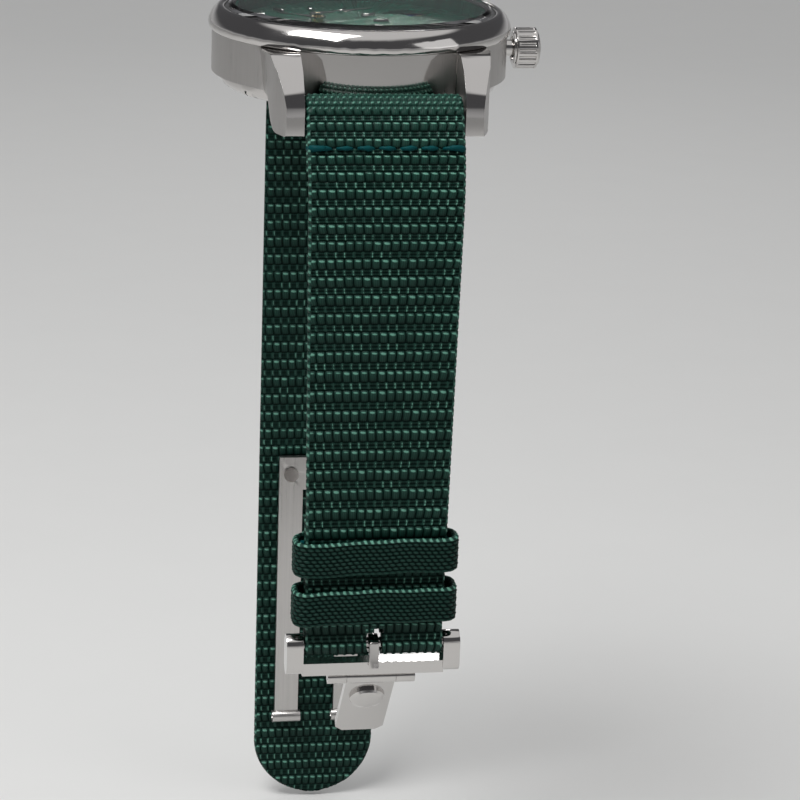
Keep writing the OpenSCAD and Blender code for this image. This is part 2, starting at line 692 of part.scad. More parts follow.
module barrel() color(brass) at(barrel_at, 0) {
    translate([0, 0, barrel_z]) linear_extrude(height = barrel_t / 2)
        polygon(toothed(84, barrel_r - mesh_gap, barrel_r - mesh_gap - tooth));
    translate([0, 0, barrel_z + barrel_t / 2]) cylinder(r = barrel_r - 0.4, h = barrel_t / 2);
    translate([0, 0, bridge_z]) cylinder(r = barrel_arbor_r, h = plate_top - bridge_z - 0.1);
}

module centre_wheel() color(brass) at(hour_at, 0) {
    wheel(centre_r, 60, centre_z, centre_pinion_r, 12, barrel_z, barrel_t, bridge_z, plate_z);
    translate([0, 0, centre_z]) cylinder(r = centre_arbor_r, h = motion_z - centre_z);
    translate([0, 0, motion_z]) linear_extrude(height = cannon_h)
        polygon(toothed(10, cannon_r - mesh_gap, cannon_r - 0.15));
    translate([0, 0, motion_z + cannon_h])
        cylinder(r = cannon_pipe_r, h = minute_hand_z - motion_z - cannon_h);
    translate([0, 0, minute_hand_z]) cylinder(r = minute_bore_r - 0.01, h = hand_t);
}

module third_wheel() color(brass) at(third_at, 0)
    wheel(third_r, 64, third_z, third_pinion_r, 8, centre_z - 0.05, wheel_t + 0.1,
        bridge_z, plate_top);

module fourth_wheel() color(brass) at(seconds_at, 0)
    wheel(fourth_r, 70, fourth_z, fourth_pinion_r, 8, third_z - 0.05, wheel_t + 0.1,
        bridge_z, seconds_hand_z);

escape_tooth = [[0, 0], [0.1, 3], [0.6, 8]]; // depth below the tip and angle of a tooth's corners

module escape_wheel() color(brass) at(escape_at, 0) {
    difference() {
        translate([0, 0, escape_z]) linear_extrude(height = wheel_t) polygon([
            for (i = [0 : 14])
                for (point = escape_tooth)
                    (escape_r - point[0]) * [cos(24 * i + point[1]), sin(24 * i + point[1])]]);
        for (i = [0 : 3])
            rotate([0, 0, 90 * i]) translate([escape_r * 0.4375, 0, escape_z - cut])
                cylinder(r = escape_r * 0.175, h = 1);
    }
    translate([0, 0, fourth_z - 0.03]) linear_extrude(height = 0.2)
        polygon(toothed(7, escape_pinion_r - mesh_gap, escape_pinion_r - mesh_gap - 0.08));
    translate([0, 0, bridge_z]) cylinder(r = pivot_r, h = plate_top - bridge_z);
}

// The anchor's arms stay just outside the escape wheel's tips
module pallet_fork() color(steel) at(pallet_at, 0) {
    toward = atan2(escape_at.y - pallet_at.y, escape_at.x - pallet_at.x);
    away = atan2(balance_at.y - pallet_at.y, balance_at.x - pallet_at.x);
    translate([0, 0, escape_z - 0.02]) cylinder(r = 0.45, h = wheel_t + 0.04);
    for (side = [-1, 1])
        rotate([0, 0, toward + side * 62]) translate([0.1, -0.17, escape_z]) cube([1.6, 0.34, wheel_t]);
    rotate([0, 0, away]) translate([0.1, -0.15, escape_z]) cube([balance_reach - 1.4, 0.3, wheel_t]);
    translate([0, 0, escape_z + 0.05]) cylinder(r = pivot_r, h = plate_top - escape_z - 0.05);
}

module balance_wheel() color(gold) at(balance_at, 0) {
    difference() {
        translate([0, 0, balance_z]) cylinder(r = balance_r, h = 0.25);
        translate([0, 0, balance_z - cut]) cylinder(r = balance_r - 0.5, h = 1);
    }
    translate([-balance_r + 0.3, -0.25, balance_z]) cube([2 * balance_r - 0.6, 0.5, 0.2]);
    translate([0, 0, balance_z]) cylinder(r = 0.6, h = 0.3);
    translate([0, 0, bridge_z]) cylinder(r = pivot_r, h = plate_top - bridge_z);
}

coil_turns = 4;
coil_steps = 24;
coil_pitch = 0.45;
coil_t = 0.12;
coil_start = 0.35;

// Point of the coil after a number of steps, offset outwards from its inner line
function coil_at(i, off) =
    let (a = 360 * i / coil_steps)
    (coil_start + coil_pitch * i / coil_steps + off) * [cos(a), sin(a)];

module hairspring() color("#31417a") at(balance_at, spring_z) linear_extrude(height = 0.13) polygon(concat(
    [for (i = [0 : coil_turns * coil_steps]) coil_at(i, coil_t)],
    [for (i = [coil_turns * coil_steps : -1 : 0]) coil_at(i, 0)]));

module hour_wheel() color(brass) at(hour_at, 0) difference() {
    union() {
        translate([0, 0, motion_z + 0.5]) linear_extrude(height = 0.25)
            polygon(toothed(32, hour_wheel_r - mesh_gap, hour_wheel_r - mesh_gap - tooth));
        translate([0, 0, motion_z + 0.5])
            cylinder(r = hour_pipe_r - 0.02, h = hour_hand_z + hand_t - motion_z - 0.5);
    }
    cylinder(r = cannon_pipe_r + running_gap, h = bezel_top);
}

module minute_wheel() color(brass) at(minute_wheel_at, 0) difference() {
    union() {
        translate([0, 0, motion_z + 0.05]) linear_extrude(height = 0.25)
            polygon(toothed(30, minute_wheel_r - mesh_gap, minute_wheel_r - mesh_gap - tooth));
        translate([0, 0, motion_z + 0.3]) linear_extrude(height = 0.45)
            polygon(toothed(8, minute_pinion_r - mesh_gap, minute_pinion_r - mesh_gap - 0.08));
    }
    cylinder(r = minute_post_r + running_gap, h = bezel_top);
}

rotor_r = back_crystal_d / 2 - rotor_gap;
rotor_z = 1.75;
rotor_hub_r = 3.2;
rotor_rim_w = 2.2;
bearing_r = 1.6;

module rotor() color(dark_steel) difference() {
    union() {
        intersection() {
            union() {
                translate([0, 0, rotor_z + 0.55]) cylinder(r = rotor_r - 0.5, h = 0.2);
                ring(rotor_r, rotor_r - rotor_rim_w, rotor_z, 0.95);
            }
            block([-rotor_r - 1, -rotor_r - 1, 0], [rotor_r + 1, 0, bridge_top]);
        }
        translate([0, 0, rotor_z + 0.4]) cylinder(r = rotor_hub_r, h = 0.55);
    }
    cylinder(r = bearing_r + running_gap, h = bridge_top);
    for (angle = [-125, -90, -55])
        rotate([0, 0, angle]) translate([(rotor_r + rotor_hub_r) / 2 - 1, 0, 0])
            cylinder(r = (rotor_r - rotor_rim_w - rotor_hub_r) / 2 - 2.3, h = bridge_top);
}

module rotor_bearing() color(steel) difference() {
    union() {
        translate([0, 0, rotor_z + 0.3]) cylinder(r = bearing_r, h = bridge_z - rotor_z - 0.3);
        translate([0, 0, rotor_z + 0.05]) cylinder(r = bearing_r + 0.6, h = 0.3);
    }
    translate([-3, -0.15, rotor_z - cut]) cube([6, 0.3, 0.12 + cut + 0.05]);
}

// Strap

module spring_bar() color(dark_steel) {
    rod(bar_h, bar_z, bar_r, lug_gap - 0.2);
    rod(bar_h, bar_z, bar_pin_r, lug_gap + 2 * lug_hole_depth - 0.2);
}

module spring_bar_short() toward_six() spring_bar();
module spring_bar_long() spring_bar();

// The upper end that both halves share: the loop round the spring bar, its sewn fold and the bend
module strap_head() {
    rod(bar_h, bar_z, loop_r, strap_w + 4);
    across(strap_w + 4) polygon(bend_band(-half_t, half_t, leave_angle, 0));
    across(strap_w + 4)
        polygon(bend_band(-half_t - fold_t, 0.1 - half_t, leave_angle, leave_angle - fold_angle));
}

// The width of a half, narrowing from the lugs down to z
module strap_width(z) rotate([90, 0, 0]) linear_extrude(height = far, center = true) polygon([
    [-strap_w / 2, bar_z + 5], [strap_w / 2, bar_z + 5], [strap_w / 2, bar_z - 6],
    [strap_end_w / 2, z], [-strap_end_w / 2, z], [-strap_w / 2, bar_z - 6]]);

tongue_slot = tongue_w + 1.2;

module strap_short() color(strap_green) toward_six() difference() {
    intersection() {
        union() {
            strap_head();
            block([-strap_w, fall_h - half_t, bar2_z], [strap_w, fall_h + half_t, bend_c.y + 0.01]);
            block([-strap_w, fall_h - half_t - fold_t, bar2_z], [strap_w, fall_h - half_t + 0.1, tail_top]);
            rod(bar2_h, bar2_z, wrap_r, 2 * strap_w);
        }
        strap_width(bar2_z - wrap_r - 1);
    }
    rod(bar_h, bar_z, bar_r + loop_gap, 2 * strap_w);
    rod(bar2_h, bar2_z, bar_r + loop_gap, 2 * strap_w);
    block([-tongue_slot / 2, 0, bar2_z - wrap_r - 1],
        [tongue_slot / 2, bar2_h + wrap_r + 1, bar2_z + 2.2]);
}

module strap_long() color(strap_green) difference() {
    intersection() {
        union() {
            strap_head();
            block([-strap_w, fall_h - half_t, tip_z], [strap_w, fall_h + half_t, bend_c.y + 0.01]);
        }
        union() {
            strap_width(tip_z + strap_end_w / 2);
            translate([0, 0, tip_z + strap_end_w / 2]) rotate([90, 0, 0])
                cylinder(d = strap_end_w, h = far, center = true);
        }
    }
    rod(bar_h, bar_z, bar_r + loop_gap, 2 * strap_w);
    for (side = [-1, 1])
        translate([side * rail_mid, fall_h, rivet_z]) rotate([90, 0, 0])
            cylinder(r = rivet_r + seat_gap, h = 6, center = true);
}

module keeper(z) toward_six() difference() {
    block([-keeper_in_w / 2 - keeper_t, fall_h - half_t - fold_t - soft_gap - keeper_t, z],
        [keeper_in_w / 2 + keeper_t, fall_h + half_t + soft_gap + keeper_t, z + keeper_w]);
    block([-keeper_in_w / 2, fall_h - half_t - fold_t - soft_gap, z - cut],
        [keeper_in_w / 2, fall_h + half_t + soft_gap, z + keeper_w + cut]);
}

module fixed_keeper() color(strap_green) keeper(fixed_keeper_z);
module free_keeper() color(strap_green) keeper(free_keeper_z);

// Clasp

crossbar_in = pin_h - knuckle_r * 0.6;
crossbar_out = bar2_h + arm_r;
arm_low_z = crossbar_z - crossbar_h / 2 + arm_r;

arm_mid = arm_in + arm_t / 2;
knuckle_w = (hinge_len - lever_w) / 2 - seat_gap;
knuckle_mid = (hinge_len - knuckle_w) / 2;

module buckle_frame() color(steel) toward_six() difference() {
    union() {
        for (side = [-1, 1]) {
            rod(bar2_h, bar2_z, arm_r, arm_t, side * arm_mid);
            rod(bar2_h, arm_low_z, arm_r, arm_t, side * arm_mid);
            block([side * arm_mid - arm_t / 2, bar2_h - arm_r, arm_low_z],
                [side * arm_mid + arm_t / 2, bar2_h + arm_r, bar2_z]);
            rod(pin_h, pin_z, knuckle_r, knuckle_w, side * knuckle_mid);
            block([side * knuckle_mid - knuckle_w / 2, crossbar_in, pin_z],
                [side * knuckle_mid + knuckle_w / 2, pin_h + knuckle_r * 0.6, crossbar_z]);
        }
        block([-arm_in - 0.1, crossbar_in, crossbar_z - crossbar_h / 2],
            [arm_in + 0.1, crossbar_out - 0.3, crossbar_z + crossbar_h / 2]);
    }
    rod(bar2_h, bar2_z, bar_pin_r + seat_gap, 2 * arm_in + arm_t + 0.2);
    rod(pin_h, pin_z, pin_r + 0.01, hinge_len + 1);
}

module buckle_bar() color(dark_steel) toward_six() {
    rod(bar2_h, bar2_z, bar_r, 2 * arm_in - 0.1);
    rod(bar2_h, bar2_z, bar_pin_r, 2 * arm_in + arm_t);
}

tongue_top = bar_r + running_gap + 0.45;

module buckle_tongue() color(steel) toward_six() difference() {
    union() {
        rod(bar2_h, bar2_z, tongue_top, tongue_w);
        across(tongue_w) polygon([[bar2_h, bar2_z + tongue_top], [bar2_h + 1.7, bar2_z + 0.6],
            [crossbar_out + 0.45, crossbar_z + 1.4], [crossbar_out + 0.75, crossbar_z + 0.3],
            [crossbar_out + 0.3, crossbar_z + 0.15], [crossbar_out - 0.25, crossbar_z + 1.15],
            [bar2_h + 1, bar2_z - 0.7]]);
    }
    rod(bar2_h, bar2_z, bar_r + running_gap, 10);
}

module hinge_pin() color(dark_steel) toward_six() rod(pin_h, pin_z, pin_r, hinge_len);

stud_pin_r = stud_d / 4;
lever_corner = 1;

// Places a piece drawn upright below the origin on the hinge pin, leaning back
module on_lever() toward_six() translate([0, pin_h, pin_z]) rotate([-lever_lean, 0, 0]) children();

module lever_plate() color(steel) on_lever() difference() {
    union() {
        rod(0, 0, knuckle_r, lever_w);
        rotate([90, 0, 0]) linear_extrude(height = lever_t, center = true) polygon([
            [-lever_w / 2, 0], [lever_w / 2, 0], [lever_w / 2, lever_corner - lever_len],
            [lever_w / 2 - lever_corner, -lever_len], [lever_corner - lever_w / 2, -lever_len],
            [-lever_w / 2, lever_corner - lever_len]]);
    }
    rod(0, 0, pin_r + running_gap, lever_w + 1);
    translate([0, 0, -stud_drop]) rotate([90, 0, 0]) cylinder(r = stud_pin_r + 0.02, h = 4, center = true);
}

module lock_stud() color(steel) on_lever() translate([0, 0, -stud_drop]) rotate([-90, 0, 0]) {
    translate([0, 0, -lever_t / 2]) cylinder(r = stud_pin_r, h = lever_t + 0.1);
    translate([0, 0, lever_t / 2]) rotate_extrude() polygon([[0, 0], [stud_d / 2, 0],
        [stud_d / 2, 0.35], [stud_d / 2 - 0.2, 0.65], [stud_d / 2 - 0.7, 0.8], [0, 0.85]]);
}

frame_top = -frame_top_drop;
frame_pin_z = frame_top - frame_len + knuckle_r;
frame_pin_h = frame_h + 0.1;
bridge_len = 5;
rivet_z = frame_top - 2.6;
rivet_r = 0.55;
rivet_head_r = 1.1;
rivet_head_t = 0.35;
t_end_w = rail_w + 0.7;

module base_frame() color(steel) difference() {
    union() {
        for (side = [-1, 1]) {
            block([side * rail_mid - rail_w / 2, frame_h, frame_pin_z],
                [side * rail_mid + rail_w / 2, frame_h + frame_t, frame_top]);
            rod(frame_pin_h, frame_pin_z, knuckle_r, t_end_w, side * rail_mid);
        }
        block([-frame_w / 2, frame_h, frame_top - bridge_len], [frame_w / 2, frame_h + frame_t, frame_top]);
    }
    rod(frame_pin_h, frame_pin_z, pin_r + running_gap, frame_w + 4);
    for (side = [-1, 1])
        translate([side * rail_mid, frame_h, rivet_z]) rotate([90, 0, 0])
            cylinder(r = rivet_r + 0.02, h = 8, center = true);
}

module frame_rivets() color(steel)
    for (side = [-1, 1])
        translate([side * rail_mid, 0, rivet_z]) rotate([-90, 0, 0]) {
            translate([0, 0, frame_h - rivet_head_t]) cylinder(r = rivet_head_r, h = rivet_head_t);
            translate([0, 0, frame_h - 0.1]) cylinder(r = rivet_r, h = fall_h + half_t - frame_h + 0.1);
            translate([0, 0, fall_h + half_t]) cylinder(r = rivet_head_r, h = rivet_head_t);
        }

case_middle();
bezel();
crystal();
crystal_gasket();
dial_flange();
case_back();
back_crystal();
back_gasket();
movement_ring();
casing_clamps();
casing_screws();
crown();
crown_gasket();
crown_tube();
winding_stem();
sliding_pinion();
moon_corrector();
date_corrector();
dial_plate();
hour_markers();
seconds_ring();
date_frame();
date_units_disc();
date_tens_disc();
moon_disc();
hour_hand();
minute_hand();
seconds_hand();
main_plate();
train_bridge();
balance_cock();
bridge_screws();
barrel();
centre_wheel();
third_wheel();
fourth_wheel();
escape_wheel();
pallet_fork();
balance_wheel();
hairspring();
hour_wheel();
minute_wheel();
rotor();
rotor_bearing();
spring_bar_short();
spring_bar_long();
strap_short();
strap_long();
fixed_keeper();
free_keeper();
buckle_frame();
buckle_bar();
buckle_tongue();
hinge_pin();
lever_plate();
lock_stud();
base_frame();
frame_rivets();
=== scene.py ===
"""Moon phase watch on a ribbed textile strap: woven halves, keepers, prints, finishes and stage."""

import math

import bmesh
import bpy
import numpy as np
from bpy.props import FloatProperty, FloatVectorProperty, IntProperty, PointerProperty
from bpy.types import Operator, Panel, PropertyGroup
from mathutils import Matrix, Vector


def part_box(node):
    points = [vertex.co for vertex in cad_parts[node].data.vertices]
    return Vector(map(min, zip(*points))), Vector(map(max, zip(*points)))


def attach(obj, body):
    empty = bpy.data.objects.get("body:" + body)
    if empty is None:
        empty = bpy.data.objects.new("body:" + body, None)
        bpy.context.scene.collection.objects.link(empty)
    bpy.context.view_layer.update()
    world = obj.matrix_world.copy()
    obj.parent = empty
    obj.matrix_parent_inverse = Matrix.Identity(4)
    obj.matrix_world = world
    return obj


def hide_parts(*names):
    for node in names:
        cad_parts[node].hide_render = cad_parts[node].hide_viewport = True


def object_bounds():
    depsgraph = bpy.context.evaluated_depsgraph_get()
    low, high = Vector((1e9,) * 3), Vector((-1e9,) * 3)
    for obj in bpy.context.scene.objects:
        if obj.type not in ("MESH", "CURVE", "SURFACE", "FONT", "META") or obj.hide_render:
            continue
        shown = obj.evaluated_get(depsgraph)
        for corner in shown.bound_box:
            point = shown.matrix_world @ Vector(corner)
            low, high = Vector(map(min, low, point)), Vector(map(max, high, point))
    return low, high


bl_info = {
    "name": "Moon Phase Watch",
    "version": (1, 0, 0),
    "blender": (4, 5, 0),
    "location": "View3D > Sidebar > Watch",
    "description": "Dresses the moon phase watch: woven strap, keepers, prints, finishes and stage",
    "category": "Object",
}

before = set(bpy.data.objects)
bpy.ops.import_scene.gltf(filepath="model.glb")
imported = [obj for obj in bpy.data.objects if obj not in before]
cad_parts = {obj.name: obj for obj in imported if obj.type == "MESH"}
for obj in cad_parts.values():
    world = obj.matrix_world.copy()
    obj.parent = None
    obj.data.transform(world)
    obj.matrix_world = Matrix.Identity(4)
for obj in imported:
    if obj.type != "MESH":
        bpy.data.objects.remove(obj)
cad_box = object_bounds()

MM = 0.001
MICRON = 1e-6
MERGE = 1e-7


def middle(node):
    """Centre of a construction node's box."""
    low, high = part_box(node)
    return (low + high) / 2


def reach(node):
    """Size of a construction node's box."""
    low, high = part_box(node)
    return high - low


# Settings


def length(name, text, default):
    """A length setting in metres."""
    return FloatProperty(name=name, description=text, default=default, min=0.0, unit="LENGTH", precision=5)


def colour(name, text, default):
    """A colour setting."""
    return FloatVectorProperty(
        name=name, description=text, default=default, size=3, min=0.0, max=1.0, subtype="COLOR"
    )


def degrees(name, text, default):
    """An angle setting, with its default in degrees."""
    return FloatProperty(name=name, description=text, default=math.radians(default), unit="ROTATION")


def amount(name, text, default, least=0.0):
    """A setting that is a plain number."""
    return FloatProperty(name=name, description=text, default=default, min=least)


class StrapSettings(PropertyGroup):
    """Sizes and colours of the two strap halves."""

    thickness: length("Thickness", "Thickness of the strap", 1.6 * MM)
    fold_thickness: length("Fold thickness", "Thickness of a folded and sewn end", 1.2 * MM)
    fold_length: length("Fold length", "Length of the sewn fold behind a spring bar", 8.5 * MM)
    loop_radius: length("Loop radius", "Outer radius of the loop round a spring bar", 2.25 * MM)
    wrap_radius: length("Wrap radius", "Outer radius of the turn round the buckle bar", 1.9 * MM)
    bar_gap: length("Bar gap", "Play between a bar and the loop round it", 0.1 * MM)
    leave_angle: degrees("Leaving angle", "Angle from straight down at which the strap leaves the lugs", 36)
    bend_radius: length("Bend radius", "Radius of the bend under the lugs", 22 * MM)
    tail_length: length("Tail length", "Length of the sewn tail above the buckle bar", 17 * MM)
    end_width: length("End width", "Width of the strap at the buckle", 18 * MM)
    edge_radius: length("Edge radius", "Rounding of the selvedges", 0.7 * MM)
    rib_pitch: length("Rib pitch", "Distance from one rib to the next where the strap hangs", 2.65 * MM)
    bend_pitch: length("Bend pitch", "Distance from one rib to the next at the lugs", 2.05 * MM)
    pitch_start: length("Pitch start", "Where the ribs start to spread, from the bar", 6 * MM)
    pitch_end: length("Pitch end", "Where the ribs are fully spread, from the bar", 36 * MM)
    rib_mark: length("Rib mark", "Place of the top of one rib, from the bar", 22.95 * MM)
    rib_height: length("Rib height", "Height of the ribs over the ground of the weave", 0.42 * MM)
    puffs: IntProperty(name="Puffs", description="Number of puffs across one rib", default=17, min=4)
    slot_width: length("Slot width", "Width of the slot for the buckle tongue", 2.3 * MM)
    seam: length("Seam", "Place of the seam through the fold, from the bar", 4.55 * MM)
    stitch_length: length("Stitch length", "Length of one stitch", 2.05 * MM)
    stitch_count: IntProperty(name="Stitches", description="Number of stitches in a row", default=7, min=2)
    thread_radius: length("Thread radius", "Radius of the sewing thread", 0.3 * MM)
    yarn_colour: colour("Yarn", "Colour of the yarn on the ribs", (0.0036, 0.036, 0.025))
    # Painted shade: the gap colour darkens the low places of the weave between the ribs.
    shaded_gap_colour: colour("Gaps", "Colour deep between the ribs", (0.0008, 0.0075, 0.0056))
    # Painted highlight: a pale colour where the yarn turns over a rib, on the selvedge beads and on the
    # keepers' knots and top rim.
    highlight_colour: colour("Crests", "Colour where the yarn turns over a rib", (0.115, 0.29, 0.22))
    thread_colour: colour("Thread", "Colour of the sewing thread", (0.003, 0.05, 0.054))


class KeeperSettings(PropertyGroup):
    """Sizes of the two keeper bands."""

    thickness: length("Thickness", "Thickness of a keeper band", 1.05 * MM)
    corner_radius: length("Corner radius", "Rounding where a band turns round the strap", 1.5 * MM)
    knot_width: length("Knot width", "Width of one knot of the weave", 0.86 * MM)
    knot_height: length("Knot height", "Height of one row of knots", 0.52 * MM)
    relief: length("Relief", "How far the knots stand out", 0.2 * MM)
    tilt: degrees("Tilt", "How far the bands lean across the strap", 1.2)


class DialSettings(PropertyGroup):
    """Colours and sizes of the dial and its prints."""

    centre_colour: colour("Dial centre", "Green of the dial near its centre", (0.0014, 0.058, 0.034))
    rim_colour: colour("Dial rim", "Green of the dial at its rim", (0.0008, 0.012, 0.008))
    print_colour: colour("Prints", "Colour of dots and numbers on the dial", (0.75, 0.78, 0.74))
    paper_colour: colour("Date discs", "Colour of the date discs", (0.62, 0.585, 0.50))
    ink_colour: colour("Date ink", "Colour of the date numbers", (0.02, 0.02, 0.02))
    night_colour: colour("Night sky", "Colour of the moon disc", (0.006, 0.014, 0.07))
    moon_colour: colour("Moons", "Colour of the moons and stars", (0.86, 0.74, 0.46))
    dot_radius: length("Dot radius", "Radius of a minute dot", 0.09 * MM)
    number_size: length("Number size", "Height of the small seconds numbers", 1.15 * MM)
    date_size: length("Date size", "Height of the date numbers", 2.1 * MM)
    print_height: length("Print height", "How far a print stands on its surface", 0.02 * MM)


class MetalSettings(PropertyGroup):
    """Colours of the metals and stones."""

    steel: colour("Steel", "Colour of the case and clasp steel", (0.57, 0.553, 0.54))
    nickel: colour("Nickel", "Colour of bridges and plates", (0.60, 0.58, 0.54))
    gilt: colour("Gilt", "Colour of the wheels", (0.78, 0.56, 0.26))
    blued: colour("Blued steel", "Colour of screws and hairspring", (0.02, 0.05, 0.32))
    ruby: colour("Ruby", "Colour of the bearing jewels", (0.42, 0.004, 0.03))
    rubber: colour("Rubber", "Colour of the gaskets", (0.012, 0.012, 0.013))


class StageSettings(PropertyGroup):
    """Floor, light and camera."""

    floor_colour: colour("Floor", "Colour of the floor", (0.60, 0.60, 0.59))
    key_power: amount("Key power", "Power of the key lamp in watts", 2.6)
    fill_power: amount("Fill power", "Power of the fill lamp in watts", 0.3)
    azimuth: degrees("Azimuth", "Direction of the camera round the watch, from the 6 o'clock side", -9.6)
    elevation: degrees("Elevation", "Height angle of the camera", 17.1)
    roll: degrees("Roll", "Lean of the camera", 1.95)
    distance: length("Distance", "Distance from the camera to its target", 400 * MM)
    lens: amount("Lens", "Focal length in millimetres", 130.7, 1.0)


SETTINGS = {
    "watch_strap": StrapSettings,
    "watch_keepers": KeeperSettings,
    "watch_dial": DialSettings,
    "watch_metal": MetalSettings,
    "watch_stage": StageSettings,
}


# Node trees


class Graph:
    """Adds and links the nodes of one shader tree."""

    def __init__(self, tree, shader=None):
        self.tree = tree
        self.shader = shader

    def put(self, socket, value):
        """Links a socket into another, or sets it."""
        if isinstance(value, bpy.types.NodeSocket):
            self.tree.links.new(value, socket)
        elif socket.type == "RGBA" and len(value) == 3:
            socket.default_value = (*value, 1.0)
        else:
            socket.default_value = value

    def add(self, kind, settings=None, **inputs):
        """A node with its settings and its inputs, whose names have _ for a space."""
        node = self.tree.nodes.new("ShaderNode" + kind)
        for name, value in (settings or {}).items():
            setattr(node, name, value)
        for name, value in inputs.items():
            self.put(node.inputs[name.replace("_", " ")], value)
        return node

    def feed(self, label, value):
        """Links a value into the material's own shader, or sets it there."""
        self.put(self.shader.inputs[label], value)

    def bump(self, height, distance, strength=1.0):
        """Feeds a height into the shader's normal."""
        node = self.add("Bump", Strength=strength, Distance=distance, Height=height)
        self.feed("Normal", node.outputs[0])

    def maths(self, operation, first, second=0.0, third=0.0):
        """The result of one sum."""
        node = self.add("Math", {"operation": operation})
        for socket, value in zip(node.inputs, (first, second, third)):
            self.put(socket, value)
        return node.outputs[0]

    def times(self, first, second):
        return self.maths("MULTIPLY", first, second)

    def plus(self, first, second):
        return self.maths("ADD", first, second)

    def wave(self, value):
        return self.maths("SINE", value)

    def radius(self, x, y):
        """Distance from the upright axis."""
        return self.maths("SQRT", self.maths("MULTIPLY_ADD", x, x, self.times(y, y)))

    def mix(self, factor, first, second):
        """A colour between two colours."""
        node = self.add("Mix", {"data_type": "RGBA"})
        for socket, value in zip((node.inputs[0], node.inputs[6], node.inputs[7]), (factor, first, second)):
            self.put(socket, value)
        return node.outputs[2]

    def spread(self, value, low, high, to_low=0.0, to_high=1.0):
        """A value moved from one range to another, held inside it."""
        node = self.add("MapRange", {"interpolation_type": "SMOOTHSTEP"})
        for socket, number in zip(node.inputs, (value, low, high, to_low, to_high)):
            self.put(socket, number)
        return node.outputs[0]

    def scaled(self, vector, scale):
        """A vector multiplied part by part."""
        node = self.add("VectorMath", {"operation": "MULTIPLY"})
        self.put(node.inputs[0], vector)
        self.put(node.inputs[1], scale)
        return node.outputs[0]

    def noise(self, vector, scale, detail, roughness=0.55):
        """Soft random tones from 0 to 1."""
        node = self.add("TexNoise", Vector=vector, Scale=scale, Detail=detail, Roughness=roughness)
        return node.outputs[0]

    def place(self):
        """Place on the piece, in metres."""
        return self.add("TexCoord").outputs["Object"]

    def parts(self, vector):
        """The three parts of a vector."""
        return self.add("SeparateXYZ", Vector=vector).outputs


def shader_group(name, inputs, outputs):
    """A shader node group and the graph, input node and output node to build it with."""
    tree = bpy.data.node_groups.new(name, "ShaderNodeTree")
    for label, kind, value in inputs:
        socket = tree.interface.new_socket(label, in_out="INPUT", socket_type=kind)
        socket.default_value = value
    for label, kind in outputs:
        tree.interface.new_socket(label, in_out="OUTPUT", socket_type=kind)
    graph = Graph(tree)
    return tree, graph, tree.nodes.new("NodeGroupInput").outputs, tree.nodes.new("NodeGroupOutput").inputs


# How fast the fine lines of each finish change along X, Y and Z.
HAIR_LINES = (9000.0, 700.0, 2500.0)
FLANK_LINES = (9000.0, 9000.0, 150.0)
BLADE_LINES = (9000.0, 9000.0, 120.0)
BRIDGE_LINES = (2500.0, 2500.0, 50.0)
WHEEL_LINES = (5000.0, 900.0, 900.0)


def brushed_group():
    """Long fine lines of a brushed or turned metal."""
    tree, graph, given, made = shader_group(
        "brushed_lines",
        [("Place", "NodeSocketVector", (0, 0, 0)), ("Stretch", "NodeSocketVector", (1, 1, 1))],
        [("Tone", "NodeSocketFloat"), ("Height", "NodeSocketFloat")],
    )
    lines = graph.scaled(given["Place"], given["Stretch"])
    fine = graph.noise(lines, 1.0, 4.0, 0.7)
    broad = graph.noise(lines, 0.17, 2.0, 0.5)
    tone = graph.plus(graph.times(fine, 0.6), graph.times(broad, 0.4))
    graph.put(made["Tone"], tone)
    graph.put(made["Height"], fine)
    return tree


def wear_group():
    """Faint handling marks: soft smears and hairline scratches."""
    tree, graph, given, made = shader_group(
        "handling_marks",
        [("Place", "NodeSocketVector", (0, 0, 0)), ("Roughness", "NodeSocketFloat", 0.1)],
        [("Roughness", "NodeSocketFloat"), ("Height", "NodeSocketFloat")],
    )
    smears = graph.spread(graph.noise(given["Place"], 130.0, 3.0), 0.45, 0.75, 0.0, 0.07)
    hairs = graph.noise(graph.scaled(given["Place"], HAIR_LINES), 1.0, 1.0)
    scratches = graph.spread(hairs, 0.66, 0.74)
    marked = graph.plus(smears, graph.times(scratches, 0.05))
    graph.put(made["Roughness"], graph.plus(given["Roughness"], marked))
    graph.put(made["Height"], scratches)
    return tree


def yarn_group():
    """Filaments of a yarn that runs along the second part of a flat place in millimetres."""
    tree, graph, given, made = shader_group(
        "yarn_filaments",
        [("Flat", "NodeSocketVector", (0, 0, 0)), ("Filaments", "NodeSocketFloat", 8.0)],
        [("Tone", "NodeSocketFloat"), ("Height", "NodeSocketFloat")],
    )
    flat = graph.parts(given["Flat"])
    wander = graph.noise(given["Flat"], 1.3, 2.0)
    across = graph.plus(flat[0], graph.times(wander, 0.28))
    wave = graph.wave(graph.times(across, graph.times(given["Filaments"], math.tau)))
    strands = graph.maths("MULTIPLY_ADD", wave, 0.5, 0.5)
    fuzz = graph.noise(given["Flat"], 9.0, 4.0, 0.7)
    graph.put(made["Tone"], graph.maths("MULTIPLY_ADD", strands, 0.45, graph.times(fuzz, 0.55)))
    graph.put(made["Height"], graph.maths("MULTIPLY_ADD", fuzz, 0.5, strands))
    return tree


EFFECTS = {"brushed_lines": brushed_group, "handling_marks": wear_group, "yarn_filaments": yarn_group}
built_effects = {}


def effect(graph, name, **inputs):
    """Places a shared effect in a material and gives its outputs."""
    if name not in built_effects:
        built_effects[name] = EFFECTS[name]()
    node = graph.tree.nodes.new("ShaderNodeGroup")
    node.node_tree = built_effects[name]
    for label, value in inputs.items():
        graph.put(node.inputs[label], value)
    return node.outputs


# Materials


def material(name, base, metallic, roughness=0.5, **sockets):
    """A material and the graph of its Principled shader to build on."""
    made = bpy.data.materials.new(name)
    made.use_nodes = True
    graph = Graph(made.node_tree, made.node_tree.nodes["Principled BSDF"])
    graph.feed("Base Color", base)
    graph.feed("Metallic", metallic)
    graph.feed("Roughness", roughness)
    for label, value in sockets.items():
        graph.feed(label.replace("_", " "), value)
    return made, graph


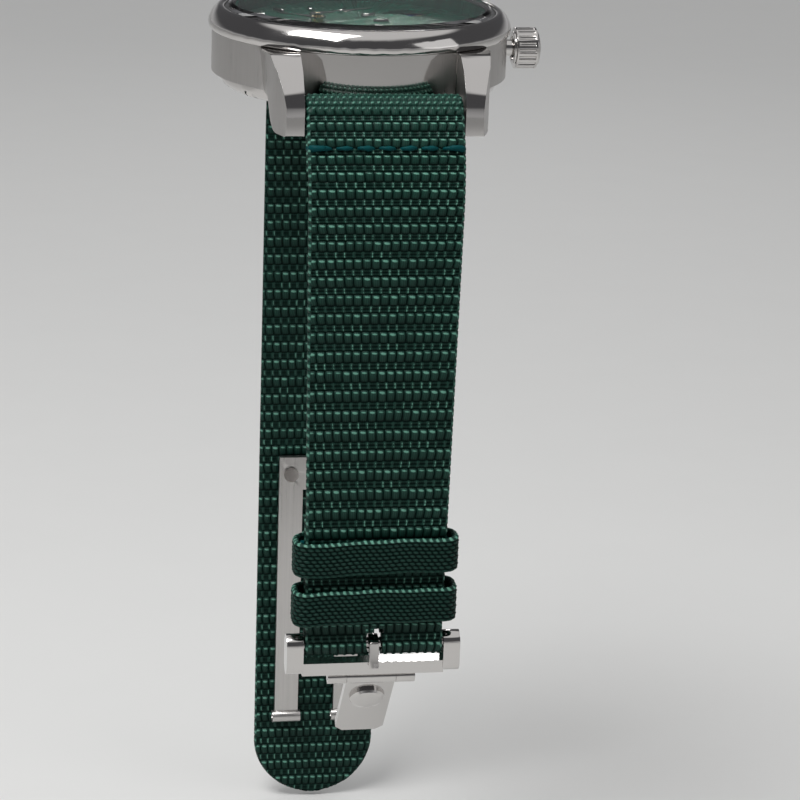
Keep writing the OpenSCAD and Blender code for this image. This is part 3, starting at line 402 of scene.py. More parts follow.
def tinted(base, share):
    """A colour made darker or lighter."""
    return [min(1.0, share * part) for part in base]


# The case flank, where the lugs start and half the gap between them.
CASE_RADIUS = 19.5 * MM
LUG_START = 19.56 * MM
LUG_GAP = 10.3 * MM
# How squarely a face of the case must look sideways, or at most up, to be satin.
SIDE_FACING = 0.55
UPRIGHT_FACING = 0.5
STRIPE_WIDTH = 1.6 * MM
GRIND_SIZE = 1.1 * MM
DIAL_MIDDLE = 4 * MM
DIAL_RIM = 17 * MM
# Relief from which the painted highlights on the crests of the weave start and are full.
HIGHLIGHT_START = 1.02
HIGHLIGHT_FULL = 1.45


def polished(name, base, roughness=0.07):
    """Mirror-polished metal with faint handling marks."""
    made, graph = material(name, base, 1.0)
    marks = effect(graph, "handling_marks", Place=graph.place(), Roughness=roughness)
    graph.feed("Roughness", marks["Roughness"])
    graph.bump(marks["Height"], -0.12 * MICRON)
    return made


def brushed(name, base):
    """Metal with fine straight upright lines."""
    made, graph = material(name, base, 1.0)
    lines = effect(graph, "brushed_lines", Place=graph.place(), Stretch=BLADE_LINES)
    graph.feed("Base Color", graph.mix(lines["Tone"], tinted(base, 0.72), tinted(base, 1.12)))
    graph.feed("Roughness", graph.spread(lines["Tone"], 0.2, 0.8, 0.24, 0.42))
    graph.bump(lines["Height"], 1.5 * MICRON)
    return made


def case_steel(base):
    """Case steel: upright satin lines on the flank and lug sides, polished elsewhere."""
    made, graph = material("case_steel", base, 1.0)
    place = graph.place()
    x, y, z = graph.parts(place)[:3]
    angle = graph.maths("ARCTAN2", y, x)
    around = graph.add("CombineXYZ", X=graph.times(angle, CASE_RADIUS), Y=0.0, Z=z)
    lines = effect(graph, "brushed_lines", Place=around.outputs[0], Stretch=FLANK_LINES)
    marks = effect(graph, "handling_marks", Place=place, Roughness=0.06)
    facing = graph.parts(graph.add("NewGeometry").outputs["Normal"])
    on_lug = graph.maths("GREATER_THAN", graph.radius(x, y), LUG_START)
    lug_side = graph.maths("GREATER_THAN", graph.maths("ABSOLUTE", facing[0]), SIDE_FACING)
    outside = graph.maths("GREATER_THAN", graph.maths("ABSOLUTE", x), LUG_GAP)
    upright = graph.maths("LESS_THAN", graph.maths("ABSOLUTE", facing[2]), UPRIGHT_FACING)
    flank = graph.times(outside, upright)
    satin_here = graph.maths("MULTIPLY_ADD", on_lug, graph.maths("SUBTRACT", lug_side, flank), flank)
    satin = graph.times(satin_here, upright)
    brushed_tone = graph.mix(lines["Tone"], tinted(base, 0.6), tinted(base, 1.05))
    graph.feed("Base Color", graph.mix(satin, base, brushed_tone))
    satin_rough = graph.spread(lines["Tone"], 0.25, 0.75, 0.24, 0.42)
    smooth = graph.times(graph.maths("SUBTRACT", 1.0, satin), marks["Roughness"])
    graph.feed("Roughness", graph.maths("MULTIPLY_ADD", satin, satin_rough, smooth))
    graph.bump(graph.times(lines["Height"], satin), 2.0 * MICRON)
    return made


def striped(name, base):
    """Plated bridge with broad decorative stripes and fine graining."""
    made, graph = material(name, base, 1.0)
    place = graph.place()
    x, y = graph.parts(place)[:2]
    slant = graph.maths("MULTIPLY_ADD", x, 0.5, graph.times(y, 0.87))
    stripe = graph.maths("FRACT", graph.times(slant, 1 / STRIPE_WIDTH))
    arch = graph.wave(graph.times(stripe, math.pi))
    lines = effect(graph, "brushed_lines", Place=place, Stretch=BRIDGE_LINES)
    tone = graph.maths("MULTIPLY_ADD", lines["Tone"], 0.4, graph.times(stripe, 0.6))
    graph.feed("Base Color", graph.mix(tone, tinted(base, 0.55), base))
    graph.feed("Roughness", graph.spread(lines["Tone"], 0.2, 0.8, 0.16, 0.34))
    graph.bump(arch, 8.0 * MICRON)
    return made


def grained(name, base):
    """Plate with overlapping round grinding marks."""
    made, graph = material(name, base, 1.0)
    cells = graph.add("TexVoronoi", {"feature": "F1"}, Vector=graph.place(), Scale=1 / GRIND_SIZE)
    graph.put(cells.inputs["Randomness"], 0.25)
    away = cells.outputs["Distance"]
    rings = graph.wave(graph.times(away, 60.0))
    graph.feed("Base Color", graph.mix(away, base, tinted(base, 0.6)))
    graph.feed("Roughness", graph.spread(away, 0.0, 0.9, 0.18, 0.4))
    graph.bump(rings, 1.2 * MICRON)
    return made


def wheel_metal(name, base):
    """Turned and grained wheels."""
    made, graph = material(name, base, 1.0)
    lines = effect(graph, "brushed_lines", Place=graph.place(), Stretch=WHEEL_LINES)
    graph.feed("Base Color", graph.mix(lines["Tone"], tinted(base, 0.7), base))
    graph.feed("Roughness", graph.spread(lines["Tone"], 0.2, 0.8, 0.15, 0.35))
    graph.bump(lines["Height"], 0.8 * MICRON)
    return made


def clear_crystal():
    """Clear crystal that lets the lamps through."""
    glass = {"IOR": 1.12, "Transmission_Weight": 1.0, "Specular_IOR_Level": 0.2}
    made, graph = material("clear_crystal", (1.0, 1.0, 1.0), 0.0, 0.0, **glass)
    smears = graph.noise(graph.place(), 90.0, 4.0)
    graph.feed("Roughness", graph.spread(smears, 0.55, 0.8, 0.0, 0.01))
    through = graph.add("BsdfTransparent")
    path = graph.add("LightPath")
    blend = graph.add("MixShader")
    graph.put(blend.inputs[0], path.outputs["Is Shadow Ray"])
    graph.put(blend.inputs[1], graph.shader.outputs[0])
    graph.put(blend.inputs[2], through.outputs[0])
    output = next(node for node in made.node_tree.nodes if node.type == "OUTPUT_MATERIAL")
    graph.put(output.inputs["Surface"], blend.outputs[0])
    return made


def rubber(base):
    """Matt gasket rubber with a fine grain."""
    made, graph = material("gasket_rubber", base, 0.0, 0.6)
    grain = graph.noise(graph.place(), 4000.0, 3.0)
    graph.feed("Roughness", graph.spread(grain, 0.3, 0.7, 0.5, 0.75))
    graph.bump(grain, 3.0 * MICRON)
    return made


def sunburst(settings):
    """Green dial with fine rays from its centre, darker towards the rim."""
    made, graph = material("sunburst_green", settings.centre_colour, 0.45, 0.3, Anisotropic=0.8)
    green_gloss = (0.02, 0.3, 0.17)
    graph.feed("Specular Tint", green_gloss)
    graph.feed("Specular IOR Level", 0.1)
    x, y = graph.parts(graph.place())[:2]
    angle = graph.maths("ARCTAN2", y, x)
    radius = graph.radius(x, y)
    turn = graph.add("CombineXYZ", X=graph.maths("COSINE", angle), Y=graph.wave(angle), Z=0.0)
    rays = graph.noise(turn.outputs[0], 260.0, 2.0, 0.6)
    shade = graph.spread(radius, DIAL_MIDDLE, DIAL_RIM)
    deep = graph.mix(shade, settings.centre_colour, settings.rim_colour)
    lit = graph.mix(shade, tinted(settings.centre_colour, 1.9), settings.centre_colour)
    graph.feed("Base Color", graph.mix(graph.spread(rays, 0.3, 0.75), deep, lit))
    graph.feed("Roughness", graph.spread(rays, 0.3, 0.7, 0.22, 0.36))
    round_centre = graph.add("Tangent", {"direction_type": "RADIAL", "axis": "Z"})
    graph.feed("Tangent", round_centre.outputs[0])
    graph.bump(rays, 1.0 * MICRON)
    return made


def printed(name, base, roughness=0.45):
    """Thick matt ink or enamel with a faint grain."""
    made, graph = material(name, base, 0.0, roughness, Coat_Weight=0.3)
    grain = graph.noise(graph.place(), 2500.0, 3.0)
    graph.feed("Base Color", graph.mix(grain, tinted(base, 0.86), base))
    graph.feed("Roughness", graph.spread(grain, 0.3, 0.7, roughness - 0.1, roughness + 0.1))
    graph.bump(grain, 1.0 * MICRON)
    return made


def ruby(base):
    """Clear red bearing stone, a little cloudy."""
    made, graph = material("bearing_ruby", base, 0.0, 0.06, Coat_Weight=1.0, Specular_IOR_Level=0.8)
    cloud = graph.noise(graph.place(), 3000.0, 2.0)
    graph.feed("Base Color", graph.mix(cloud, tinted(base, 0.5), tinted(base, 1.5)))
    return made


def woven(name, yarn, gap, crest, filaments, relief_from=0.1, relief_to=0.8):
    """Woven yarn with filaments and fuzz, with painted shade between the threads and a painted highlight
    where it turns over a rib.
    """
    made, graph = material(name, yarn, 0.0, 0.5)
    relief = graph.add("Attribute", {"attribute_name": "relief"}).outputs["Fac"]
    flat = graph.add("UVMap", {"uv_map": "flat"}).outputs[0]
    threads = effect(graph, "yarn_filaments", Flat=flat, Filaments=filaments)
    patches = graph.noise(flat, 0.16, 3.0)
    pale = [min(1.0, 1.5 * part + 0.002) for part in yarn]
    lit = graph.mix(threads["Tone"], tinted(yarn, 0.55), pale)
    worn = graph.mix(graph.spread(patches, 0.4, 0.7, 0.0, 0.35), lit, tinted(yarn, 0.7))
    # Painted shade: where the relief is low the colour turns to the darker gap colour.
    raised = graph.spread(relief, relief_from, relief_to)
    # Painted highlight: the highest relief takes the pale highlight colour.
    on_highlight = graph.spread(relief, HIGHLIGHT_START, HIGHLIGHT_FULL)
    graph.feed("Base Color", graph.mix(on_highlight, graph.mix(raised, gap, worn), crest))
    graph.feed("Specular IOR Level", graph.spread(relief, relief_from, relief_to, 0.05, 0.24))
    graph.feed("Roughness", graph.spread(threads["Tone"], 0.2, 0.8, 0.62, 0.42))
    graph.bump(threads["Height"], 22 * MICRON, 0.8)
    return made


# Meshes


def placed(name, data):
    """An object in the scene, made from a mesh, text, lamp or camera."""
    made = bpy.data.objects.new(name, data)
    bpy.context.scene.collection.objects.link(made)
    return made


def dress(piece, made):
    """Gives a piece one material."""
    piece.data.materials.clear()
    piece.data.materials.append(made)


def cleaned(piece):
    """Joins points that coincide and turns every face outwards."""
    work = bmesh.new()
    work.from_mesh(piece.data)
    bmesh.ops.remove_doubles(work, verts=work.verts, dist=MERGE)
    bmesh.ops.recalc_face_normals(work, faces=work.faces)
    work.to_mesh(piece.data)
    work.free()
    piece.data.shade_smooth()
    return piece


def border(keep, shift, axis, wrap):
    """Kept cells whose neighbour along an axis is open; wrap joins the last cell to the first."""
    neighbour = np.roll(keep, shift, axis)
    if not wrap:
        edge = 0 if shift == 1 else -1
        if axis == 0:
            neighbour[edge, :] = False
        else:
            neighbour[:, edge] = False
    return keep & ~neighbour


def slab(name, front, back, relief, flat, keep, wrap=False):
    """A closed thick sheet between two grids of points; cells that aren't kept stay open.

    Its material reads the relief, a tone that paints shade in the hollows and highlights on the crests, and
    the flat place of each point.
    """
    rows, columns = front.shape[:2]
    index = np.arange(rows * columns).reshape(rows, columns)
    corners = [index[:-1, :-1], index[:-1, 1:], index[1:, 1:], index[1:, :-1]]
    under = rows * columns
    top = np.stack([corner[keep] for corner in corners], 1)
    faces = [top, top[:, ::-1] + under]
    for shift, axis, first, second in ((1, 0, 0, 1), (-1, 0, 2, 3), (1, 1, 3, 0), (-1, 1, 1, 2)):
        cells = border(keep, shift, axis, wrap and axis == 1)
        start, end = corners[first][cells], corners[second][cells]
        faces.append(np.stack([end, start, start + under, end + under], 1))
    points = np.concatenate([front.reshape(-1, 3), back.reshape(-1, 3)])
    mesh = bpy.data.meshes.new(name)
    mesh.from_pydata(points.tolist(), [], np.concatenate(faces).tolist())
    heights = mesh.attributes.new("relief", "FLOAT", "POINT")
    heights.data.foreach_set("value", np.concatenate([part.ravel() for part in relief]).astype(np.float32))
    vertex_of = np.empty(len(mesh.loops), np.int32)
    mesh.loops.foreach_get("vertex_index", vertex_of)
    places = np.concatenate([flat.reshape(-1, 2)] * 2) / MM
    mesh.uv_layers.new(name="flat").data.foreach_set("uv", places[vertex_of].astype(np.float32).ravel())
    return cleaned(placed(name, mesh))


def eased(distance, radius):
    """Share of the thickness at a distance in from a rounded edge."""
    inside = np.clip(1 - distance / radius, 0, 1)
    return np.sqrt(1 - inside**2)


def smooth_step(value, low, high):
    """0 below a range, 1 above it, and a soft rise inside it."""
    share = np.clip((value - low) / (high - low), 0, 1)
    return share * share * (3 - 2 * share)


def arc(centre, radius, first, last, count=40):
    """Points on an arc."""
    angles = np.linspace(first, last, count)
    return np.array(centre) + radius * np.stack([np.cos(angles), np.sin(angles)], 1)


def with_thickness(points, thickness):
    """Points with the strap's thickness beside them."""
    return np.column_stack([points, np.full(len(points), thickness)])


def smoothed(values, window):
    """Moving average that keeps straight ends straight."""
    lead = 2 * values[0] - values[window:0:-1]
    tail = 2 * values[-1] - values[-2 : -window - 2 : -1]
    padded = np.concatenate([lead, values, tail])
    kernel = np.ones(2 * window + 1) / (2 * window + 1)
    return np.stack([np.convolve(column, kernel, "valid") for column in padded.T], 1)


class Path:
    """A strap half's middle line: distance from the watch's axis, height and thickness, by length."""

    STEP = 0.1 * MM
    WINDOW = 7

    def __init__(self, rough):
        run = np.concatenate([[0], np.cumsum(np.linalg.norm(np.diff(rough[:, :2], axis=0), axis=1))])
        even = np.arange(0, run[-1], self.STEP)
        rows = np.stack([np.interp(even, run, column) for column in rough.T], 1)
        self.rows = smoothed(rows, self.WINDOW)
        steps = np.linalg.norm(np.diff(self.rows[:, :2], axis=0), axis=1)
        self.run = np.concatenate([[0], np.cumsum(steps)])
        self.length = self.run[-1]

    def at(self, lengths):
        """Distance, height, thickness and outward normal at lengths along the line."""
        h, z, thickness = [np.interp(lengths, self.run, column) for column in self.rows.T]
        slope = np.gradient(self.rows[:, :2], self.run, axis=0)
        slope_h, slope_z = [np.interp(lengths, self.run, column) for column in slope.T]
        size = np.hypot(slope_h, slope_z)
        return h, z, thickness, -slope_z / size, slope_h / size

    def beyond_crest(self, height):
        """First length past the line's highest place at which it is at a height."""
        crest = np.argmax(self.rows[:, 1])
        below = np.nonzero(self.rows[crest:, 1] <= height)[0]
        return self.run[crest + below[0]]


# Strap

# One rib runs from 0 to 1 along the strap: a row of puffs, then a band of knots.
RIB_ROWS = (
    0.0, 0.012, 0.03, 0.055, 0.085, 0.12, 0.18, 0.26, 0.35, 0.44, 0.51, 0.56, 0.59, 0.61,
    0.64, 0.68, 0.72, 0.76, 0.80, 0.84, 0.88, 0.92, 0.96,
)
PUFF_SHARE = 0.6
PUFF_START = 0.015
PUFF_SLOPE = 0.45
SHOULDER_SHARE = 0.3
HEEL_SHARE = 0.25
# One puff runs from 0 to 1 across the strap.
PUFF_COLUMNS = (0.0, 0.07, 0.25, 0.5, 0.75, 0.93)
# The painted highlight where a puff turns over: a pale stroke, by share of the puff.
STROKE_DOWN = 0.17
STROKE_HEIGHT = 0.12
STROKE_COLUMN = 0.48
STROKE_WIDTH = 0.4
STROKE_LEAN = 1.2
BINDER_WIDTH = 0.12
# Strength of the painted highlights on the puffs and on the binder ticks.
HIGHLIGHT_STRENGTH = 0.9
# The beaded cord along each edge, by share of the strap's width.
CORD_SHARE = 0.024
EDGE_COLUMNS = (0.003, 0.008, 0.012, 0.018, CORD_SHARE, 0.028)
# Rows just above the rounded tip, in millimetres from its end.
TIP_ROWS = (0.01, 0.04, 0.09)


def quarter(share):
    """A quarter circle: 0 at the start, 1 at the end, upright at the start."""
    return np.sqrt(1 - (1 - np.clip(share, 0, 1)) ** 2)


def rib_weave(along, across, jitter):
    """Height and tone of the ribbed weave: upright puffs with painted highlights at their crests, then fine
    knots; the tone's low places paint shade.
    """
    rib, row = np.divmod(along[:, None], 1)
    puff, column = np.divmod(across[None, :], 1)
    vary = jitter[rib.astype(int) % jitter.shape[0], puff.astype(int) % jitter.shape[1]]
    down = np.clip((row - PUFF_START * (1 + vary)) / PUFF_SHARE, 0, 1)
    crown = quarter(down / SHOULDER_SHARE) * quarter((1 - down) / HEEL_SHARE) * (1 - PUFF_SLOPE * down)
    crown = crown * (1 - np.abs(2 * column - 1) ** 3.6) ** 0.7 * (0.9 + 0.1 * vary)
    below = down - STROKE_DOWN
    beside = column - STROKE_COLUMN - STROKE_LEAN * below
    stroke = np.exp(-((beside / STROKE_WIDTH) ** 4) - (below / STROKE_HEIGHT) ** 2)
    band = np.clip((row - PUFF_SHARE) / (1 - PUFF_SHARE), 0, 1)
    wefts = np.abs(np.sin(2 * np.pi * band)) ** 1.5
    binder = np.exp(-(((column + 0.5) % 1 - 0.5) / BINDER_WIDTH) ** 2)
    knots = (0.2 * wefts + 0.55 * binder * np.sin(np.pi * band) ** 0.4) * (0.8 + 0.2 * vary)
    # Painted highlights: the binder ticks and weft lines lighten the knot band's tone beyond its height.
    ticks = binder * np.clip(2.6 * band * (1 - band) * (1.1 + 0.6 * vary), 0, 0.85) + 0.4 * wefts
    on_puff = row < PUFF_SHARE
    height = np.where(on_puff, crown, knots)
    # The tone follows the height, so low places get painted shade, and each puff adds its painted
    # highlight.
    tone = np.where(on_puff, crown + HIGHLIGHT_STRENGTH * stroke * (0.9 + 0.13 * vary), knots + HIGHLIGHT_STRENGTH * ticks)
    edge = np.minimum(across, across.max() - across)[None, :] / across.max()
    beads = np.abs(np.sin(2 * np.pi * along))[:, None] ** 0.6
    cord = quarter(2 * np.minimum(edge, CORD_SHARE - edge) / CORD_SHARE + 0.3)
    height = np.where(edge < CORD_SHARE, (0.45 + 0.55 * beads) * cord, height)
    # Painted highlight: the tops of the beads get tones past the highlight start.
    tone = np.where(edge < CORD_SHARE, (0.45 + 0.95 * beads**3) * cord, tone)
    return height, tone


def twill_weave(along, across, shift, slant):
    """Height from 0 to 1 of a fine twill: rows of slanted knots, each shifted against the last."""
    line = np.floor(along)[:, None]
    lift = (along % 1)[:, None]
    step = (across[None, :] + line * shift + slant * lift) % 1
    return (np.sin(np.pi * step) * np.sin(np.pi * lift)) ** 0.8


def rib_phase(path, top, s):
    """Lengths along a half and the rib number there, with its fraction."""
    run = np.arange(0, path.length + s.rib_pitch, Path.STEP)
    spread = np.clip((run - top - s.pitch_start) / (s.pitch_end - s.pitch_start), 0, 1)
    steps = Path.STEP / (s.bend_pitch + (s.rib_pitch - s.bend_pitch) * spread)
    phase = np.cumsum(steps)
    return run, phase - np.interp(top + s.rib_mark, run, phase) % 1


# Angles that stay open or lap where fold, loop, bend and wrap meet.
FOLD_CLEAR = 0.17
LOOP_CLEAR = 0.2
BEND_LAP = 0.1
WRAP_LAP = 0.3
# The wrap's top over the buckle bar, and how far the straight part laps the bend.
WRAP_HEIGHT = 2.6 * MM
STRAIGHT_LAP = 0.1 * MM


def strap_head(s, bar):
    """Fold, loop and bend that both halves share, and the place where the bend ends."""
    out = np.array([math.cos(s.leave_angle), math.sin(s.leave_angle)])
    start = bar + (s.loop_radius - s.thickness / 2) * out
    centre = start - s.bend_radius * out
    fold_mid = s.bend_radius - (s.thickness + s.fold_thickness) / 2
    bar_radius = reach("spring_bar_short")[2] / 2 + s.bar_gap
    loop_mid = (bar_radius + s.loop_radius) / 2
    leave = s.leave_angle
    fold = arc(centre, fold_mid, leave - s.fold_length / s.bend_radius, leave - FOLD_CLEAR)
    loop = arc(bar, loop_mid, leave + math.pi + LOOP_CLEAR, leave)
    bend = arc(centre, s.bend_radius, leave - BEND_LAP, 0)
    rows = [
        with_thickness(fold, s.fold_thickness),
        with_thickness(loop, s.loop_radius - bar_radius),
        with_thickness(bend, s.thickness),
    ]
    return np.concatenate(rows), centre[0] + s.bend_radius, centre[1]


def short_path(s):
    """Middle line of the short half: fold, loop, bend, fall, turn round the buckle bar and tail."""
    bar = np.array([abs(middle("spring_bar_short").y), middle("spring_bar_short").z])
    pin = np.array([abs(middle("buckle_bar").y), middle("buckle_bar").z])
    head, fall, top = strap_head(s, bar)
    inner = reach("buckle_bar")[2] / 2 + s.bar_gap
    turn = arc(pin, (inner + s.wrap_radius) / 2, WRAP_LAP, -math.pi - WRAP_LAP)
    tail = fall - (s.thickness + s.fold_thickness) / 2
    wrap_top = pin[1] + WRAP_HEIGHT
    straight = np.array([[fall, top - STRAIGHT_LAP], [fall, wrap_top]])
    sewn = np.array([[tail, wrap_top], [tail, pin[1] + s.tail_length]])
    rows = [
        head,
        with_thickness(straight, s.thickness),
        with_thickness(turn, s.wrap_radius - inner),
        with_thickness(sewn, s.fold_thickness),
    ]
    return Path(np.concatenate(rows))


def long_path(s):
    """Middle line of the long half, down to its rounded tip."""
    bar = np.array([middle("spring_bar_long").y, middle("spring_bar_long").z])
    head, fall, top = strap_head(s, bar)
    straight = np.array([[fall, top - STRAIGHT_LAP], [fall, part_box("strap_long")[0].z + MICRON]])
    return Path(np.concatenate([head, with_thickness(straight, s.thickness)]))


# The plain twill on the loop, by length before the loop's top.
TWILL_START = 7 * MM
TWILL_FULL = 6 * MM
TWILL_END = 0.6 * MM
# The taper starts this far below the spring bar.
TAPER_START = 6 * MM
EDGE_BUMP = 0.16 * MM
EDGE_WANDER = 0.07 * MM
SLOT_HEIGHT = 2.2 * MM


def strap_columns(s):
    """Shares of the width at which a strap half has points."""
    steps = [(puff + part) / s.puffs for puff in range(s.puffs) for part in PUFF_COLUMNS]
    edges = [*EDGE_COLUMNS, *(1 - part for part in EDGE_COLUMNS), 1.0]
    return np.unique(np.round(steps + edges, 6))


def strap_faces(along, share, plain, jitter, s):
    """Height and tone of a half's outer and inner face, with fine twill on the plain loop."""
    twill = twill_weave(along * 3, share * s.puffs * 1.5, 0.5, 0.6)
    # Painted highlights: the twill's tone rises past the highlight start on the knot tops.
    twill = (0.3 + 0.6 * twill, 0.3 + 1.1 * twill)
    outer = rib_weave(along, share * s.puffs, jitter)
    inner = rib_weave(along + 0.5, share * s.puffs, jitter[::-1])
    on_loop = plain[:, None] > 0.5
    return [[np.where(on_loop, *pair) for pair in zip(twill, ribbed)] for ribbed in (outer, inner)]


def strap_half(name, node, body, path, side, s, seed, tip=False, slot=False):
    """One woven strap half as a closed mesh; side is 1 towards 12 o'clock and -1 towards 6."""
    low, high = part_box(node)
    full = high.x - low.x
    bar_z = middle("spring_bar_long").z
    top = path.beyond_crest(bar_z)
    run, phase = rib_phase(path, top, s)
    ribs = int(phase[-1]) + 1
    marks = np.array([rib + row for rib in range(-1, ribs) for row in RIB_ROWS])
    places = np.interp(marks, phase, run)
    last = [path.length - part * MM for part in TIP_ROWS] if tip else []
    places = np.unique(np.concatenate([places[places < path.length], last, [path.length]]))
    along = np.interp(places, run, phase)
    share = strap_columns(s)
    h, z, thickness, nh, nz = path.at(places)
    end_radius = s.end_width / 2
    taper_end = low.z + (end_radius if tip else -MM)
    width = np.interp(z, [taper_end, bar_z - TAPER_START], [s.end_width, full])
    limit = width / 2
    if tip:
        drop = np.clip(low.z + end_radius - z, 0, end_radius)
        limit = np.minimum(limit, np.sqrt(np.maximum(end_radius**2 - drop**2, 0)))
        limit[-1] = 0
    jitter = np.random.default_rng(seed).uniform(-1, 1, (ribs + 1, s.puffs + 1))
    plain = smooth_step(places, top - TWILL_START, top - TWILL_FULL)
    plain = plain - smooth_step(places, top - TWILL_END, top)
    faces = strap_faces(along, share, plain, jitter, s)
    limit = limit[:, None]
    half = (width / 2 + EDGE_BUMP * (np.abs(np.sin(2 * np.pi * along)) - 0.5))[:, None]
    wander = EDGE_WANDER * np.sin(np.pi * share)[None, :] * np.sin(places * 900)[:, None]
    x = np.clip((2 * share - 1)[None, :] * half + wander, -limit, limit)
    rim = eased(np.minimum(limit, half) - np.abs(x), s.edge_radius)
    sides = []
    for sign, (heights, tone) in zip((1, -1), faces):
        off = sign * (thickness[:, None] / 2 - s.rib_height * (1 - heights)) * rim
        y = side * (h[:, None] + nh[:, None] * off)
        sides.append(np.stack([x, y, z[:, None] + nz[:, None] * off], 2))
    at_edge = np.abs(x) >= limit - 1e-9
    outside = at_edge[:-1, :-1] & at_edge[1:, 1:] & at_edge[:-1, 1:] & at_edge[1:, :-1]
    keep = ~outside if tip else np.ones_like(outside)
    if slot:
        near = (z[:-1] + z[1:]) / 2 < middle("buckle_bar").z + SLOT_HEIGHT
        centre = np.abs((x[:-1, :-1] + x[1:, 1:]) / 2) < s.slot_width / 2
        keep &= ~(near[:, None] & centre)
    flat = np.stack(np.broadcast_arrays((2 * share - 1)[None, :] * full / 2, places[:, None]), 2)
    # The relief attribute gets the tone, with its painted shade and painted highlights, not the height.
    piece = slab(name, sides[0], sides[1], [tone for heights, tone in faces], flat, keep)
    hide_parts(node)
    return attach(piece, body)


# The sewing thread: its steps, sides and plies, and how the plies twist and stand out.
THREAD_STEPS = 9
THREAD_SIDES = 8
THREAD_PLIES = 2
PLY_TURNS = 1.6
PLY_DEPTH = 0.16
THREAD_END = 0.06


def sweep(work, points, outwards, radius):
    """Adds a thread along points: a round bar whose plies twist, closed at both ends."""
    rings = []
    for i, point in enumerate(points):
        ahead = (points[min(i + 1, len(points) - 1)] - points[max(i - 1, 0)]).normalized()
        across = ahead.cross(outwards).normalized()
        rise = across.cross(ahead)
        share = i / (len(points) - 1)
        swell = math.sin(math.pi * min(max(share, THREAD_END), 1 - THREAD_END)) ** 0.35
        ring = []
        for k in range(THREAD_SIDES):
            turn = math.tau * k / THREAD_SIDES
            ply = math.cos(THREAD_PLIES * turn + math.tau * PLY_TURNS * share)
            size = radius * swell * (1 + PLY_DEPTH * ply)
            ring.append(work.verts.new(point + size * (math.cos(turn) * across + math.sin(turn) * rise)))
        rings.append(ring)
    for first, second in zip(rings, rings[1:]):
        for k in range(THREAD_SIDES):
            work.faces.new((first[k], first[k - 1], second[k - 1], second[k]))
    work.faces.new(rings[0])
    work.faces.new(rings[-1][::-1])


# Places of the inner row and of the tail's row, from the seam and the tail's end.
INNER_ROW = 1 * MM
TAIL_ROW = 3.4 * MM
STITCH_SINK = 0.12 * MM
STITCH_RISE = 0.42
STITCH_DIP = 0.3
SEAM_MARGIN = 1.2 * MM
# A tack turns over the strap's edge.
TACK_START = 0.35 * MM
TACK_REACH = 1.25 * MM
TACK_LIFT = 0.15 * MM
TACK_THICKNESS = 1.6
STITCH_SEED = 11


def stitch_row(name, body, path, side, s, place):
    """A row of bulky stitches across a strap, with a tack over each edge."""
    h, z, thickness, nh, nz = [float(value[0]) for value in path.at(np.array([place]))]
    outwards = Vector((0, side * nh, nz))
    base = Vector((0, side * h, z)) + outwards * (thickness / 2 - STITCH_SINK)
    width = reach("strap_short").x
    pitch = (width - SEAM_MARGIN) / s.stitch_count
    shares = np.linspace(0, 1, THREAD_STEPS)
    rng = np.random.default_rng(STITCH_SEED)
    work = bmesh.new()
    for i in range(s.stitch_count):
        centre = (i + 0.5 - s.stitch_count / 2) * pitch
        lean = rng.uniform(-0.12, 0.12) * MM
        points = []
        for share in shares:
            lift = (math.sin(math.pi * share) ** 0.5 * STITCH_RISE - STITCH_DIP) * MM
            shift = Vector((centre + (share - 0.5) * s.stitch_length, 0, (share - 0.5) * lean))
            points.append(base + shift + outwards * lift)
        sweep(work, points, outwards, s.thread_radius * rng.uniform(0.92, 1.1))
    edge = width / 2 - TACK_START
    for end in (-1, 1):
        tack = []
        for share in shares:
            turn = math.pi * (share - 0.15)
            sideways = end * (edge - TACK_REACH + TACK_REACH * math.sin(min(turn, math.pi / 2)))
            depth = thickness * 0.52 * (math.cos(max(turn, 0.0)) - 1) + TACK_LIFT
            tack.append(base + Vector((sideways, 0, 0)) + outwards * depth)
        sweep(work, tack, outwards, s.thread_radius * TACK_THICKNESS)
    mesh = bpy.data.meshes.new(name)
    work.to_mesh(mesh)
    work.free()
    piece = cleaned(placed(name, mesh))
    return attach(piece, body)


class WATCH_OT_strap(Operator):
    """Weaves the two strap halves and sews their folds"""

    bl_idname = "watch.strap"
    bl_label = "Strap halves"

    def execute(self, context):
        s = context.scene.watch_strap
        fabric = woven("ribbed_strap", s.yarn_colour, s.shaded_gap_colour, s.highlight_colour, 3.6)
        thread = woven("sewing_thread", s.thread_colour, s.thread_colour, s.thread_colour, 9.0)
        short, long = short_path(s), long_path(s)
        front = strap_half("strap_short_woven", "strap_short", "short_half", short, -1, s, 3, slot=True)
        back = strap_half("strap_long_woven", "strap_long", "long_half", long, 1, s, 5, tip=True)
        dress(front, fabric)
        dress(back, fabric)
        inner = s.fold_length - s.seam - INNER_ROW
        for name, body, path, side in (("short", "short_half", short, -1), ("long", "long_half", long, 1)):
            outer = path.beyond_crest(middle("spring_bar_long").z) + s.seam
            dress(stitch_row(f"stitches_{name}_outer", body, path, side, s, outer), thread)
            dress(stitch_row(f"stitches_{name}_inner", body, path, side, s, inner), thread)
        dress(stitch_row("stitches_tail", "short_half", short, -1, s, short.length - TAIL_ROW), thread)
        return {"FINISHED"}


# Keepers

KNOT_ROWS = (0.0, 0.16, 0.4, 0.6, 0.84)
KNOT_STEPS = 8
RIM_RADIUS = 0.5 * MM
RIM_SHARE = 0.97


